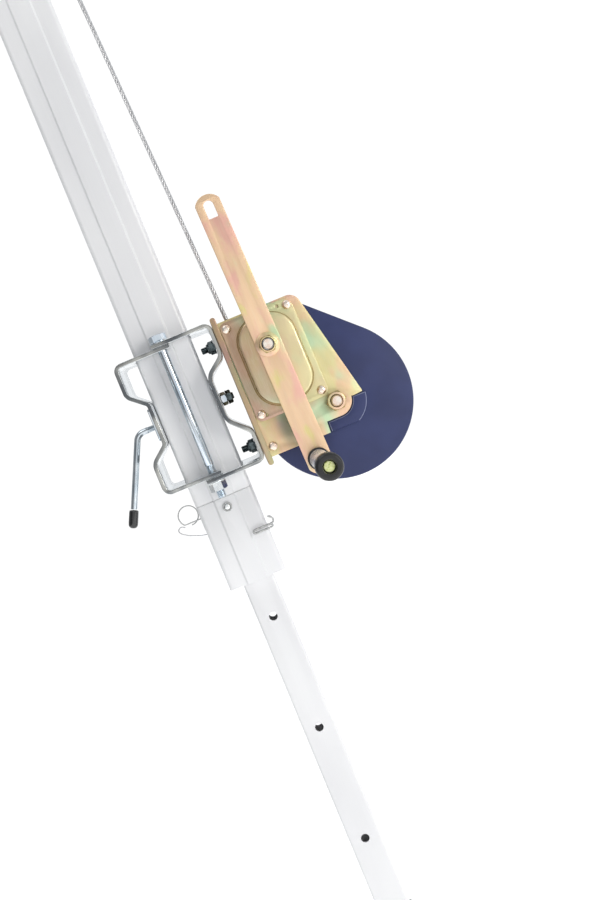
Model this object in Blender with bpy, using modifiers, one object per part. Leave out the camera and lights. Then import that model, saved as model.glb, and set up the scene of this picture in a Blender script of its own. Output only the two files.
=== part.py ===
"""Hand winch on a clamp bracket, carried by one telescopic aluminium leg.

Metres, +Z up. The origin is the middle of the leg's head end, so everything
hangs below it. +X runs from the leg towards the winch, and -Y is the crank
side. "Forward" below is a distance from the winch's mid plane towards -Y.
"""
import math

import bmesh
import bpy
from mathutils import Matrix, Vector

# ------------------------------------------------------------------ driving dimensions

GAP = 0.0003                # air left between solids that touch

# Heights of the main pieces, measured from the clamp's middle height.
CLAMP_Z = -0.525            # the clamp's middle, below the head end
RAIL_END = -0.0962          # lower end of the outer rail
COLLAR_END = -0.193         # lower end of the guide collar
LEG_TOP = -0.060            # upper end of the inner leg, inside the rail
PIN_Z = -0.1073             # locking pin, in the uppermost pin hole
FOOT_TOP = -0.590
FOOT_END = -0.640

# Outer rail: an extrusion with a raised band along the middle of two faces.
RAIL_WIDTH = 0.064
RAIL_DEPTH = 0.050
RAIL_WALL = 0.003
RAIL_CORNER = 0.0045
BAND_WIDTH = 0.0215
BAND_RISE = 0.002
CAP_HEIGHT = 0.005
PLUG_LENGTH = 0.035
SPIGOT_LENGTH = 0.030

# Inner leg and its row of pin holes.
LEG_WIDTH = 0.035
LEG_DEPTH = 0.025
LEG_WALL = 0.002
LEG_CORNER = 0.003
PIN_RADIUS = 0.0044
HOLE_RADIUS = 0.0047
HOLE_PITCH = 0.130
HOLE_COUNT = 4

# Clamp halves: bent flat bar, wrapped round the rail from both sides.
STRAP = 0.0045              # bar thickness
STRAP_WIDTH = 0.098
STRAP_BEND = 0.0070         # centreline radius of the bends
LEFT_X = -0.053             # centreline of the left half's outer wall
LEFT_WAIST_X = -0.0345
RIGHT_X = 0.0556
RIGHT_WAIST_X = 0.0349
EAR_REACH = 0.0095          # how far the ears run past the middle
LEFT_TOP, LEFT_BOTTOM = 0.0747, -0.0690
RIGHT_TOP, RIGHT_BOTTOM = 0.0796, -0.0739
CLAMP_BOLT_Y = 0.0375

# Fasteners: radius of the shank, width across flats, head height.
M8 = (0.0040, 0.0130, 0.0055)
M10 = (0.0050, 0.0165, 0.0064)
M12 = (0.0060, 0.0190, 0.0100)

# Clamp screw: a bent rod through the left waist.
SCREW_Z = 0.0009
SCREW_RADIUS = 0.0036
SCREW_BEND_X = -0.0615
SCREW_TIP = (-0.1033, -0.0876)
PAD_RADIUS = 0.0055
PAD_THICKNESS = 0.0022

# Winch housing: base plate and two side plates.
BASE_X = 0.0582             # left face of the base plate
BASE_THICKNESS = 0.0060
BASE_TOP, BASE_BOTTOM = 0.0838, -0.0823
BASE_HALF_DEPTH = 0.053
PLATE_X = 0.0600            # side plates start inside the base plate
SIDE_OUT = 0.050            # forward distance of the side plates' outer faces
SIDE_THICKNESS = 0.003
WINCH_BOLT_Z = (0.0573, -0.0585)

# Gear train: pinion on the crank shaft, spur gear on the drum.
MODULE = 0.0025
GEAR_TEETH = 60
PINION_TEETH = 14
AXLE_X, AXLE_Z = 0.1487, -0.0458
CENTRE_ANGLE = math.radians(28.96)      # from +Z towards -X, axle to crank shaft
CENTRE_DISTANCE = MODULE * (GEAR_TEETH + PINION_TEETH) / 2
CRANK_X = AXLE_X - CENTRE_DISTANCE * math.sin(CENTRE_ANGLE)
CRANK_Z = AXLE_Z + CENTRE_DISTANCE * math.cos(CENTRE_ANGLE)
SHAFT_RADIUS = 0.006

# Drum and the rope on it.
HUB_RADIUS = 0.038
HUB_WALL = 0.0035
FLANGE_RADIUS = 0.076
WINDING_RADIUS = 0.0650
ROPE_RADIUS = 0.0025
ROPE_LEAN = math.radians(2.17)          # from +Z towards the leg
ROPE_END = 0.468
FERRULE_LENGTH = 0.022

# Gear cover: pressed sheet with one bulge, riveted to the front side plate.
SHEET = 0.002
COVER_OUT = SIDE_OUT + GAP + SHEET
BULGE_OUT = 0.0703
BULGE_CENTRE = (0.1068, 0.0193)
BULGE_SIZE = (0.0635, 0.0965)
BULGE_DRAFT = 0.0028
BULGE_CORNER = 0.026
RIVETS = ((0.0711, 0.0670), (0.1390, 0.0670), (0.1390, -0.0297), (0.0711, -0.0297))
LOWER_RIVET = (0.0698, -0.0648)

# Drum cover: moulded shell round the drum, open towards the base plate.
SHELL_RADIUS = 0.0825
SHELL_WALL = 0.0025
SHELL_OUT = 0.0467
SHELL_START = math.radians(201)
SHELL_TANGENT = math.radians(46.4)
PAD_ARC = 0.0326

# Crank bar and grip.
BAR_WIDTH = 0.027
BAR_BACK, BAR_FRONT = 0.073, 0.078
BAR_TOP = 0.1663            # far end, above the shaft
BAR_SHIFT = 0.0015          # the bar's middle line, beside the shaft
BAR_END_RADIUS = 0.0152     # both ends
BAR_TILT = math.radians(1.1)            # the bar stands this far off the leg's line
SLOT_MIDDLE = 0.1505
SLOT_WIDTH, SLOT_HEIGHT = 0.0106, 0.0192
GRIP_DROP = 0.1283          # grip stud, below the shaft
GRIP_RADIUS = 0.010
GRIP_END = 0.2075

# Ratchet brake in the bulge.
RATCHET_TEETH = 12
RATCHET_OUT, RATCHET_ROOT = 0.0200, 0.0166
PAWL_ANGLE = math.radians(-60)          # where the pawl's tip meets the wheel
PAWL_LENGTH = 0.022
PAWL_RADIUS = 0.0175                    # the tip's distance from the shaft

FRONT = (math.pi / 2, 0, 0)             # local Z points forward, local Y up
SIDEWAYS = (0, math.pi / 2, 0)          # local Z points to +X

# ------------------------------------------------------------------ scene and helpers

for old in list(bpy.data.objects):
    bpy.data.objects.remove(old, do_unlink=True)

PART = bpy.data.collections.new("leg_winch")
CUTTERS = bpy.data.collections.new("cutters")
for collection in (PART, CUTTERS):
    bpy.context.scene.collection.children.link(collection)


def finish(name, colour, metallic, roughness):
    """A Principled material."""
    material = bpy.data.materials.new(name)
    material.use_nodes = True
    shader = material.node_tree.nodes["Principled BSDF"]
    shader.inputs["Base Color"].default_value = (*colour, 1)
    shader.inputs["Metallic"].default_value = metallic
    shader.inputs["Roughness"].default_value = roughness
    return material


ALUMINIUM = finish("anodised_aluminium", (0.80, 0.80, 0.82), 0.6, 0.45)
ZINC = finish("bright_zinc", (0.72, 0.75, 0.77), 1.0, 0.25)
CHROMATE = finish("yellow_chromate", (0.72, 0.55, 0.30), 0.9, 0.35)
BLUE = finish("blue_plastic", (0.045, 0.055, 0.17), 0.0, 0.45)
BLACK = finish("black_plastic", (0.012, 0.012, 0.014), 0.0, 0.4)
BLACK_STEEL = finish("blackened_steel", (0.05, 0.07, 0.08), 0.9, 0.35)
STEEL = finish("steel", (0.45, 0.45, 0.46), 1.0, 0.35)
ROPE = finish("wire_rope", (0.50, 0.51, 0.52), 1.0, 0.4)
RUBBER = finish("rubber", (0.03, 0.03, 0.03), 0.0, 0.8)
LINING = finish("brake_lining", (0.20, 0.12, 0.08), 0.0, 0.9)


def axis_empty(name, x, y, z, parent=None):
    """An empty on a joint's axis."""
    empty = bpy.data.objects.new(name, None)
    empty.empty_display_size = 0.02
    PART.objects.link(empty)
    set_place(empty, (x, y, z), (0, 0, 0), parent)
    return empty


def set_place(obj, location, rotation, parent):
    """Put obj at a world location and turn, below a parent that isn't turned."""
    offset = Vector(location)
    obj.parent = parent
    while parent is not None:
        offset -= parent.location
        parent = parent.parent
    obj.location = offset
    obj.rotation_euler = rotation


def piece(name, mesh, material, location=(0, 0, 0), rotation=(0, 0, 0), parent=None):
    """Link a mesh as one named sub-part."""
    obj = bpy.data.objects.new(name, mesh)
    mesh.materials.clear()
    mesh.materials.append(material)
    PART.objects.link(obj)
    set_place(obj, location, rotation, parent)
    return obj


def cutter(mesh, location=(0, 0, 0), rotation=(0, 0, 0), parent=None):
    """Link a mesh as a hidden Boolean operand."""
    obj = bpy.data.objects.new("cutter", mesh)
    CUTTERS.objects.link(obj)
    set_place(obj, location, rotation, parent)
    obj.hide_render = True
    obj.display_type = "WIRE"
    return obj


def combine(obj, other, operation="DIFFERENCE"):
    """Cut obj by another solid, or join them."""
    modifier = obj.modifiers.new(operation.lower(), "BOOLEAN")
    modifier.operation = operation
    modifier.solver = "EXACT"
    modifier.object = other


def circle(radius, centre=(0, 0), steps=16):
    """Points round a circle."""
    return [(centre[0] + radius * math.cos(2 * math.pi * i / steps),
             centre[1] + radius * math.sin(2 * math.pi * i / steps)) for i in range(steps)]


def hexagon(flats, centre=(0, 0)):
    """Corners of a hexagon given its width across flats."""
    return circle(flats / math.sqrt(3), centre, 6)


def arc(centre, radius, start, end, steps):
    """Points along an arc, both ends included."""
    return [(centre[0] + radius * math.cos(start + (end - start) * i / steps),
             centre[1] + radius * math.sin(start + (end - start) * i / steps))
            for i in range(steps + 1)]


def fillet(corners, radii, steps=4, closed=True):
    """Round a polygon's corners. radii is one radius, or one for each corner."""
    if not isinstance(radii, (list, tuple)):
        radii = [radii] * len(corners)
    points = []
    for i, (corner, radius) in enumerate(zip(corners, radii)):
        at_end = not closed and i in (0, len(corners) - 1)
        if at_end or radius == 0:
            points.append(corner)
            continue
        here = Vector(corner)
        back = (Vector(corners[i - 1]) - here).normalized()
        ahead = (Vector(corners[(i + 1) % len(corners)]) - here).normalized()
        half = back.angle(ahead) / 2
        centre = here + (back + ahead).normalized() * (radius / math.sin(half))
        start = here + back * (radius / math.tan(half)) - centre
        end = here + ahead * (radius / math.tan(half)) - centre
        turn = math.atan2(start.x * end.y - start.y * end.x, start.dot(end))
        first = math.atan2(start.y, start.x)
        points += arc(centre, radius, first, first + turn, steps)
    return points


def rectangle(width, height, corner=0.0, centre=(0, 0), steps=4):
    """A rectangle with rounded corners."""
    x, y = width / 2, height / 2
    corners = [(centre[0] + sx * x, centre[1] + sy * y)
               for sx, sy in ((-1, -1), (1, -1), (1, 1), (-1, 1))]
    return fillet(corners, corner, steps) if corner else corners


def ribbon(path, thickness):
    """Outline of a bent bar from its centreline."""
    left, right = [], []
    for i, point in enumerate(path):
        here = Vector(point)
        back = (here - Vector(path[i - 1])).normalized() if i else None
        ahead = (Vector(path[i + 1]) - here).normalized() if i < len(path) - 1 else None
        direction = ((back or ahead) + (ahead or back)).normalized()
        normal = Vector((-direction.y, direction.x))
        reach = thickness / 2 / max(0.2, normal.dot(Vector((-(ahead or back).y, (ahead or back).x))))
        left.append(tuple(here + normal * reach))
        right.append(tuple(here - normal * reach))
    return left + right[::-1]


def slab(outlines, low, high):
    """A flat solid across local Z from low to high. The outlines after the first are holes."""
    curve = bpy.data.curves.new("outline", "CURVE")
    curve.dimensions = "2D"
    curve.fill_mode = "BOTH"
    curve.extrude = (high - low) / 2
    for outline in outlines:
        spline = curve.splines.new("POLY")
        spline.points.add(len(outline) - 1)
        for point, (x, y) in zip(spline.points, outline):
            point.co = (x, y, 0, 1)
        spline.use_cyclic_u = True
    return curve_mesh(curve, Matrix.Translation((0, 0, (low + high) / 2)))


def curve_mesh(curve, move=Matrix.Identity(4)):
    """Turn a curve into a closed mesh, and drop the curve."""
    holder = bpy.data.objects.new("holder", curve)
    bpy.context.scene.collection.objects.link(holder)
    bpy.context.view_layer.update()
    graph = bpy.context.evaluated_depsgraph_get()
    mesh = bpy.data.meshes.new_from_object(holder.evaluated_get(graph))
    bpy.data.objects.remove(holder, do_unlink=True)
    bpy.data.curves.remove(curve)
    form = bmesh.new()
    form.from_mesh(mesh)
    bmesh.ops.remove_doubles(form, verts=form.verts, dist=1e-6)
    bmesh.ops.recalc_face_normals(form, faces=form.faces)
    form.transform(move)
    form.to_mesh(mesh)
    form.free()
    mesh.shade_smooth()
    mesh.set_sharp_from_angle(angle=math.radians(35))
    return mesh


def wire(points, radius, closed=False, sides=2):
    """A round wire along points."""
    curve = bpy.data.curves.new("wire", "CURVE")
    curve.dimensions = "3D"
    curve.bevel_depth = radius
    curve.bevel_resolution = sides
    curve.use_fill_caps = True
    spline = curve.splines.new("POLY")
    spline.points.add(len(points) - 1)
    for point, place in zip(spline.points, points):
        point.co = (*place, 1)
    spline.use_cyclic_u = closed
    return curve_mesh(curve)


def turned(name, profile, material, location, rotation=(0, 0, 0), parent=None, steps=16):
    """A turned solid. The profile is (radius, height) pairs, down the outside.

    A profile that starts and ends on the axis is solid; any other is a ring,
    and comes back up on the inside.
    """
    solid = profile[0][0] == 0
    form = bmesh.new()
    verts = [form.verts.new((radius, 0, height)) for radius, height in profile]
    for a, b in zip(verts, verts[1:]):
        form.edges.new((a, b))
    if not solid:
        form.edges.new((verts[-1], verts[0]))
    mesh = bpy.data.meshes.new(name)
    form.to_mesh(mesh)
    form.free()
    obj = piece(name, mesh, material, location, rotation, parent)
    screw = obj.modifiers.new("turn", "SCREW")
    screw.axis = "Z"
    screw.steps = screw.render_steps = steps
    screw.use_merge_vertices = True
    screw.merge_threshold = 1e-5
    screw.use_smooth_shade = True
    return obj


def ring_profile(outer, inner, low, high, edge=0.0):
    """Profile of a plain ring, with a chamfer on its outer edges."""
    if not edge:
        return [(outer, high), (outer, low), (inner, low), (inner, high)]
    return [(outer - edge, high), (outer, high - edge), (outer, low + edge),
            (outer - edge, low), (inner, low), (inner, high)]


def block(low, high, edge=0.0):
    """A box mesh between two corners, with bevelled edges."""
    form = bmesh.new()
    bmesh.ops.create_cube(form, size=1)
    size = Vector(high) - Vector(low)
    middle = (Vector(high) + Vector(low)) / 2
    bmesh.ops.transform(form, verts=form.verts, matrix=Matrix.Translation(middle) @ Matrix.Diagonal((*size, 1)))
    if edge:
        bmesh.ops.bevel(form, geom=form.edges, offset=edge, segments=2, affect="EDGES")
    mesh = bpy.data.meshes.new("block")
    form.to_mesh(mesh)
    form.free()
    return mesh


def rod(radius, low, high, steps=14):
    """A cylinder mesh along local Z."""
    form = bmesh.new()
    bmesh.ops.create_cone(form, cap_ends=True, segments=steps, radius1=radius, radius2=radius,
                          depth=high - low, matrix=Matrix.Translation((0, 0, (low + high) / 2)))
    mesh = bpy.data.meshes.new("rod")
    form.to_mesh(mesh)
    form.free()
    return mesh


def loft(sections):
    """A closed solid through equal-length outlines, each given with its height."""
    form = bmesh.new()
    rings = [[form.verts.new((x, y, height)) for x, y in outline] for outline, height in sections]
    for lower, upper in zip(rings, rings[1:]):
        for i in range(len(lower)):
            j = (i + 1) % len(lower)
            form.faces.new((lower[i], lower[j], upper[j], upper[i]))
    form.faces.new(rings[0][::-1])
    form.faces.new(rings[-1])
    bmesh.ops.recalc_face_normals(form, faces=form.faces)
    mesh = bpy.data.meshes.new("loft")
    form.to_mesh(mesh)
    form.free()
    return mesh


def prism(outline, low, high):
    """A straight solid along local Z."""
    return loft([(outline, low), (outline, high)])


def bolt(name, size, length, material, location, rotation=(0, 0, 0), parent=None, flange=0.0):
    """A hexagon bolt. Its head stands on local Z = 0, and its shank runs down from there."""
    shank, flats, head = size
    obj = piece(name, slab([hexagon(flats)], flange * 0.5, head + flange), material, location, rotation, parent)
    combine(obj, cutter(rod(shank, -length, (head + flange) * 0.8), location, rotation, parent), "UNION")
    if flange:
        combine(obj, cutter(rod(flats * 0.62, 0, flange, 16), location, rotation, parent), "UNION")
    return obj


def nut(name, size, height, material, location, rotation=(0, 0, 0), parent=None, flange=0.0, collar=0.0):
    """A hexagon nut on local Z = 0, with a flange below and a nylon collar above it."""
    shank, flats, _ = size
    bore = circle(shank + GAP, steps=12)
    if not flange and not collar:
        return piece(name, slab([hexagon(flats), bore], 0, height), material, location, rotation, parent)
    obj = piece(name, slab([hexagon(flats)], flange * 0.5, height), material, location, rotation, parent)
    if flange:
        combine(obj, cutter(rod(flats * 0.62, 0, flange, 16), location, rotation, parent), "UNION")
    if collar:
        combine(obj, cutter(rod(flats * 0.44, height * 0.8, height + collar, 16), location, rotation, parent),
                "UNION")
    combine(obj, cutter(rod(shank + GAP, -0.01, height + collar + 0.01, 12), location, rotation, parent))
    return obj


# ------------------------------------------------------------------ leg

def banded(width, depth, corner, band, rise):
    """The rail's section: a rounded rectangle with a raised band on two faces."""
    x, y = width / 2, depth / 2 - rise
    b = band / 2
    corners = [(-x, -y), (-b - rise, -y), (-b, -y - rise), (b, -y - rise), (b + rise, -y), (x, -y),
               (x, y), (b + rise, y), (b, y + rise), (-b, y + rise), (-b - rise, y), (-x, y)]
    radii = [corner if abs(point[0]) == x else 0 for point in corners]
    return fillet(corners, radii)


def rail_section(shrink=0.0):
    """The rail's outer section, or one that lies inside it by shrink."""
    return banded(RAIL_WIDTH - 2 * shrink, RAIL_DEPTH - 2 * shrink,
                  max(RAIL_CORNER - shrink, 0.001), BAND_WIDTH - shrink, BAND_RISE)


def leg_section(grow=0.0):
    """The inner leg's outer section, or one that lies outside it by grow."""
    return rectangle(LEG_WIDTH + 2 * grow, LEG_DEPTH + 2 * grow, LEG_CORNER + grow)


def make_leg():
    """Outer rail, head plug, guide collar, inner leg, foot and locking pin."""
    rail_low, rail_high = CLAMP_Z + RAIL_END, -CAP_HEIGHT - GAP
    piece("outer_rail", slab([rail_section(), rail_section(RAIL_WALL)], rail_low, rail_high), ALUMINIUM)

    plug_section = rectangle(RAIL_WIDTH - 2 * RAIL_WALL - 2 * GAP,
                             RAIL_DEPTH - 2 * RAIL_WALL - 2 * BAND_RISE - 2 * GAP, 0.002)
    plug = piece("rail_top_plug", prism(rail_section(), -CAP_HEIGHT, 0), BLACK)
    combine(plug, cutter(slab([plug_section], -PLUG_LENGTH, -CAP_HEIGHT / 2)), "UNION")

    collar_low, collar_high = CLAMP_Z + COLLAR_END, rail_low - GAP
    collar = piece("guide_collar", prism(rail_section(), collar_low, collar_high), ALUMINIUM)
    combine(collar, cutter(slab([plug_section], collar_high - 0.002, rail_low + SPIGOT_LENGTH)), "UNION")
    combine(collar, cutter(slab([leg_section(0.0004)], collar_low - 0.01, rail_low + SPIGOT_LENGTH + 0.01)))
    pin_hole = rod(PIN_RADIUS + GAP, -RAIL_DEPTH, RAIL_DEPTH)
    combine(collar, cutter(pin_hole, (0, 0, CLAMP_Z + PIN_Z), FRONT))

    pocket_floor = CLAMP_Z + FOOT_END + 0.015
    leg = piece("inner_leg", slab([leg_section(), leg_section(-LEG_WALL)], pocket_floor + GAP,
                                  CLAMP_Z + LEG_TOP), ALUMINIUM)
    for i in range(HOLE_COUNT):
        hole = rod(HOLE_RADIUS, -LEG_DEPTH, LEG_DEPTH)
        combine(leg, cutter(hole, (0, 0, CLAMP_Z + PIN_Z - i * HOLE_PITCH), FRONT))

    foot_top = CLAMP_Z + FOOT_TOP
    foot = piece("rubber_foot", loft([
        (rectangle(0.050, 0.040, 0.008), CLAMP_Z + FOOT_END),
        (rectangle(0.046, 0.036, 0.006), CLAMP_Z + FOOT_END + 0.012),
        (rectangle(0.042, 0.032, 0.005), foot_top)]), RUBBER)
    combine(foot, cutter(slab([leg_section(GAP)], pocket_floor, foot_top + 0.01)))

    axis = axis_empty("pin_pull_axis", 0, 0, CLAMP_Z + PIN_Z)
    half = RAIL_DEPTH / 2
    turned("locking_pin", [(0, half + 0.0030), (0.0040, half + 0.0030), (0.0052, half + 0.0018),
                           (0.0052, half + GAP), (PIN_RADIUS, half + GAP), (PIN_RADIUS, -half - 0.001),
                           (0.0030, -half - 0.003), (0, -half - 0.003)],
           ZINC, axis.location, FRONT, axis)


def make_tether():
    """Wire ring and lanyard at the collar's left side, and the wire clip at its right."""
    side = RAIL_WIDTH / 2 + GAP
    centre = (-0.0446, CLAMP_Z - 0.1026)
    tang_z = CLAMP_Z - 0.1108
    turns = 18
    ring = [(-side - 0.0006, 0, tang_z), (-0.040, 0, tang_z), (-0.047, 0, tang_z)]
    for i in range(turns + 1):
        angle = math.radians(228) - math.radians(318) * i / turns
        ring.append((centre[0] + 0.0110 * math.cos(angle), 0.0018 * i / turns,
                     centre[1] + 0.0110 * math.sin(angle)))
    piece("pin_ring", wire(ring, 0.0007, sides=0), ZINC)

    piece("pin_lanyard", wire(LANYARD, LANYARD_RADIUS, sides=0), ROPE)

    front = -RAIL_DEPTH / 2 - 0.0030
    low, high = CLAMP_Z - 0.1452, CLAMP_Z - 0.1414
    clip = [(0.0355, front, high + 0.0085), (0.0385, front, high + 0.0070), (0.0405, front, high + 0.0040),
            (0.0395, front, high + 0.0008), (0.0360, front, high), (0.0180, front, high)]
    clip += [(0.0175 + 0.0019 * math.cos(a), front, (low + high) / 2 + 0.0019 * math.sin(a))
             for a in (math.radians(110 + 28 * i) for i in range(6))]
    clip += [(0.0180, front, low), (0.0335, front, low), (0.0362, front + 0.0015, low),
             (0.0372, front + 0.0050, low), (0.0372, -0.004, low), (0.0360, -0.001, low), (side + 0.0006, 0, low)]
    piece("wire_clip", wire(clip, 0.0012, sides=1), BLACK_STEEL)


def smooth_route(points, steps):
    """Points on a Catmull-Rom curve through the route's own points."""
    ends = [points[0], *points, points[-1]]
    route = []
    for a, b, c, d in zip(ends, ends[1:], ends[2:], ends[3:]):
        a, b, c, d = Vector(a), Vector(b), Vector(c), Vector(d)
        for i in range(steps):
            t = i / steps
            route.append((b * 2 + (c - a) * t + (a * 2 - b * 5 + c * 4 - d) * t * t
                          + (b * 3 - a - c * 3 + d) * t ** 3) / 2)
    route.append(Vector(points[-1]))
    return route


LANYARD_RADIUS = 0.0006
LANYARD_ROUTE = [
    (-0.0528, 0.0030, CLAMP_Z - 0.1136), (-0.0560, 0.0020, CLAMP_Z - 0.1116),
    (-0.0592, 0.0000, CLAMP_Z - 0.1122), (-0.0604, -0.0016, CLAMP_Z - 0.1150),
    (-0.0578, -0.0026, CLAMP_Z - 0.1186), (-0.0500, -0.0030, CLAMP_Z - 0.1234),
    (-0.0420, -0.0020, CLAMP_Z - 0.1268), (-0.0330, 0.0000, CLAMP_Z - 0.1294)]
LANYARD = smooth_route(LANYARD_ROUTE, 4)


# ------------------------------------------------------------------ clamp bracket

def strap_half(name, ear_x, wall_x, waist_x, top, bottom, bends, radii, bracket):
    """One half of the clamp, its ears notched round the rail and bored for the long bolts."""
    upper_out, upper_in, lower_in, lower_out = bends
    path = fillet([(ear_x, top), (wall_x, top), (wall_x, upper_out), (waist_x, upper_in),
                   (waist_x, lower_in), (wall_x, lower_out), (wall_x, bottom), (ear_x, bottom)],
                  [0, STRAP_BEND, *radii, STRAP_BEND, 0], steps=6, closed=False)
    half = STRAP_WIDTH / 2
    place = (0, 0, CLAMP_Z)
    obj = piece(name, slab([ribbon(path, STRAP)], -half, half), ZINC, place, FRONT, bracket)
    rail_side = math.copysign(RAIL_WIDTH / 2 + 0.0008, wall_x)
    far = math.copysign(0.030, ear_x)
    notch_y = RAIL_DEPTH / 2 + 0.0008
    low_x, high_x = min(rail_side, far), max(rail_side, far)
    for z in (top, bottom):
        notch = block((low_x, -notch_y, z - 0.01), (high_x, notch_y, z + 0.01))
        combine(obj, cutter(notch, place, parent=bracket))
        for side in (-1, 1):
            hole = rod(M10[0] + 0.0005, z - 0.01, z + 0.01, 16)
            combine(obj, cutter(hole, (0, side * CLAMP_BOLT_Y, CLAMP_Z), parent=bracket))
    return obj


def make_clamp(bracket):
    """Both clamp halves and the fasteners through their ears."""
    left = strap_half("clamp_half_left", EAR_REACH, LEFT_X, LEFT_WAIST_X, LEFT_TOP, LEFT_BOTTOM,
                      (0.0405, 0.0250, -0.0200, -0.0350), (0.010, 0.007, 0.007, 0.012), bracket)
    right = strap_half("clamp_half_right", -EAR_REACH, RIGHT_X, RIGHT_WAIST_X, RIGHT_TOP, RIGHT_BOTTOM,
                       (0.0440, 0.0280, -0.0215, -0.0420), (0.010, 0.015, 0.015, 0.010), bracket)
    screw_hole = rod(PAD_RADIUS + 0.0004, -0.060, -0.020)
    combine(left, cutter(screw_hole, (0, 0, CLAMP_Z + SCREW_Z), SIDEWAYS, bracket))
    for z in (*WINCH_BOLT_Z, SCREW_Z):
        hole = rod(M8[0] + GAP, 0.020, 0.080, 16)
        combine(right, cutter(hole, (0, 0, CLAMP_Z + z), SIDEWAYS, bracket))

    top = CLAMP_Z + RIGHT_TOP + STRAP / 2 + GAP
    bottom = CLAMP_Z + RIGHT_BOTTOM - STRAP / 2 - GAP
    for name, y in (("front", -CLAMP_BOLT_Y), ("rear", CLAMP_BOLT_Y)):
        bolt(f"{name}_clamp_bolt", M10, top - bottom + 0.0185, ZINC, (0, y, top), parent=bracket, flange=0.0022)
        nut(f"{name}_clamp_nut", M10, 0.0105, ZINC, (0, y, bottom), (math.pi, 0, 0), bracket, flange=0.0020)


def make_clamp_screw(bracket, pad, screw):
    """Screw plate, pressure pad, bent screw and its cap."""
    z = CLAMP_Z + SCREW_Z
    face = LEFT_WAIST_X - STRAP / 2 - GAP
    plate = piece("screw_plate", block((face - 0.0038, -0.019, CLAMP_Z - 0.0150), (face, 0.019, CLAMP_Z + 0.0215)),
                  ZINC, parent=bracket)
    hole = rod(SCREW_RADIUS + 0.0004, face - 0.01, face + 0.01, 16)
    combine(plate, cutter(hole, (0, 0, z), SIDEWAYS, bracket))

    rail_face = -RAIL_WIDTH / 2 - GAP
    turned("pressure_pad", [(0, rail_face), (PAD_RADIUS, rail_face), (PAD_RADIUS, rail_face - PAD_THICKNESS),
                            (0, rail_face - PAD_THICKNESS)], ZINC, (0, 0, z), SIDEWAYS, pad, steps=16)

    start = rail_face - PAD_THICKNESS - GAP
    tip_x, tip_z = SCREW_TIP
    arm = Vector((tip_x - SCREW_BEND_X, tip_z - SCREW_Z))
    arm_end = Vector((SCREW_BEND_X, SCREW_Z)) + arm * (1 - 0.016 / arm.length)
    path = fillet([(start, SCREW_Z), (SCREW_BEND_X, SCREW_Z), tuple(arm_end)], 0.011, steps=6, closed=False)
    points = [(x, 0, CLAMP_Z + height) for x, height in path]
    piece("clamp_screw", wire([Vector(p) - Vector((0, 0, z)) for p in points], SCREW_RADIUS, sides=3), ZINC,
          (0, 0, z), parent=screw)

    lean = math.atan2(-arm.x, -arm.y)
    turned("screw_cap", [(0, 0.0196), (0.0035, 0.0192), (0.0050, 0.0172), (0.0052, 0.0020), (0.0049, 0),
                         (SCREW_RADIUS + GAP, 0), (SCREW_RADIUS + GAP, 0.0140), (0, 0.0140)],
           BLACK, (tip_x + 0.0145 * math.sin(lean), 0, CLAMP_Z + tip_z + 0.0145 * math.cos(lean)),
           (0, math.pi + lean, 0), screw, steps=20)


def make_side_fasteners(bracket):
    """The stud and nuts in the right waist, and the bolts that hold the winch."""
    z = CLAMP_Z + SCREW_Z
    inner = RAIL_WIDTH / 2 + 0.0008
    outer = RIGHT_WAIST_X + STRAP / 2 + GAP
    turned("waist_stud", [(0, 0.0518), (M8[0] - 0.0008, 0.0518), (M8[0], 0.0510), (M8[0], inner), (0, inner)],
           ZINC, (0, 0, z), SIDEWAYS, bracket, steps=16)
    nut("waist_nut", M8, 0.0062, ZINC, (outer, 0, z), SIDEWAYS, bracket)
    nut("waist_lock_nut", M8, 0.0058, BLACK_STEEL, (outer + 0.0062 + GAP, 0, z), SIDEWAYS, bracket, flange=0.0012)

    strap_face = RIGHT_X - STRAP / 2 - GAP
    head_face = BASE_X + BASE_THICKNESS + GAP
    for name, height in zip(("upper", "lower"), WINCH_BOLT_Z):
        place = CLAMP_Z + height
        shank = M8[0]
        turned(f"{name}_winch_bolt", [(0, head_face + 0.0040), (0.0045, head_face + 0.0034),
                                      (0.0080, head_face + 0.0012), (0.0085, head_face), (shank, head_face),
                                      (shank, 0.0385), (shank - 0.0008, 0.0375), (0, 0.0375)],
               ZINC, (0, 0, place), SIDEWAYS, bracket, steps=16)
        nut(f"{name}_winch_nut", M8, 0.0072, BLACK_STEEL, (strap_face, 0, place), (0, -math.pi / 2, 0), bracket,
            flange=0.0015, collar=0.0022)


# ------------------------------------------------------------------ winch

def side_outline():
    """Edge of a side plate, in X and Z from the clamp's middle."""
    axle = (AXLE_X, AXLE_Z)
    notch = arc(axle, 0.0170, math.radians(0), math.radians(-88), 8)
    top = fillet([(PLATE_X, 0.0763), (0.1516, 0.0763), (0.1784, -0.0456)], [0, 0.0125, 0], steps=6, closed=False)
    return top + [(0.1784, -0.0470), (0.1670, -0.0478)] + notch[1:] + [
        (0.1318, -0.0628), (0.1312, -0.0748), (PLATE_X, -0.0748)]


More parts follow.
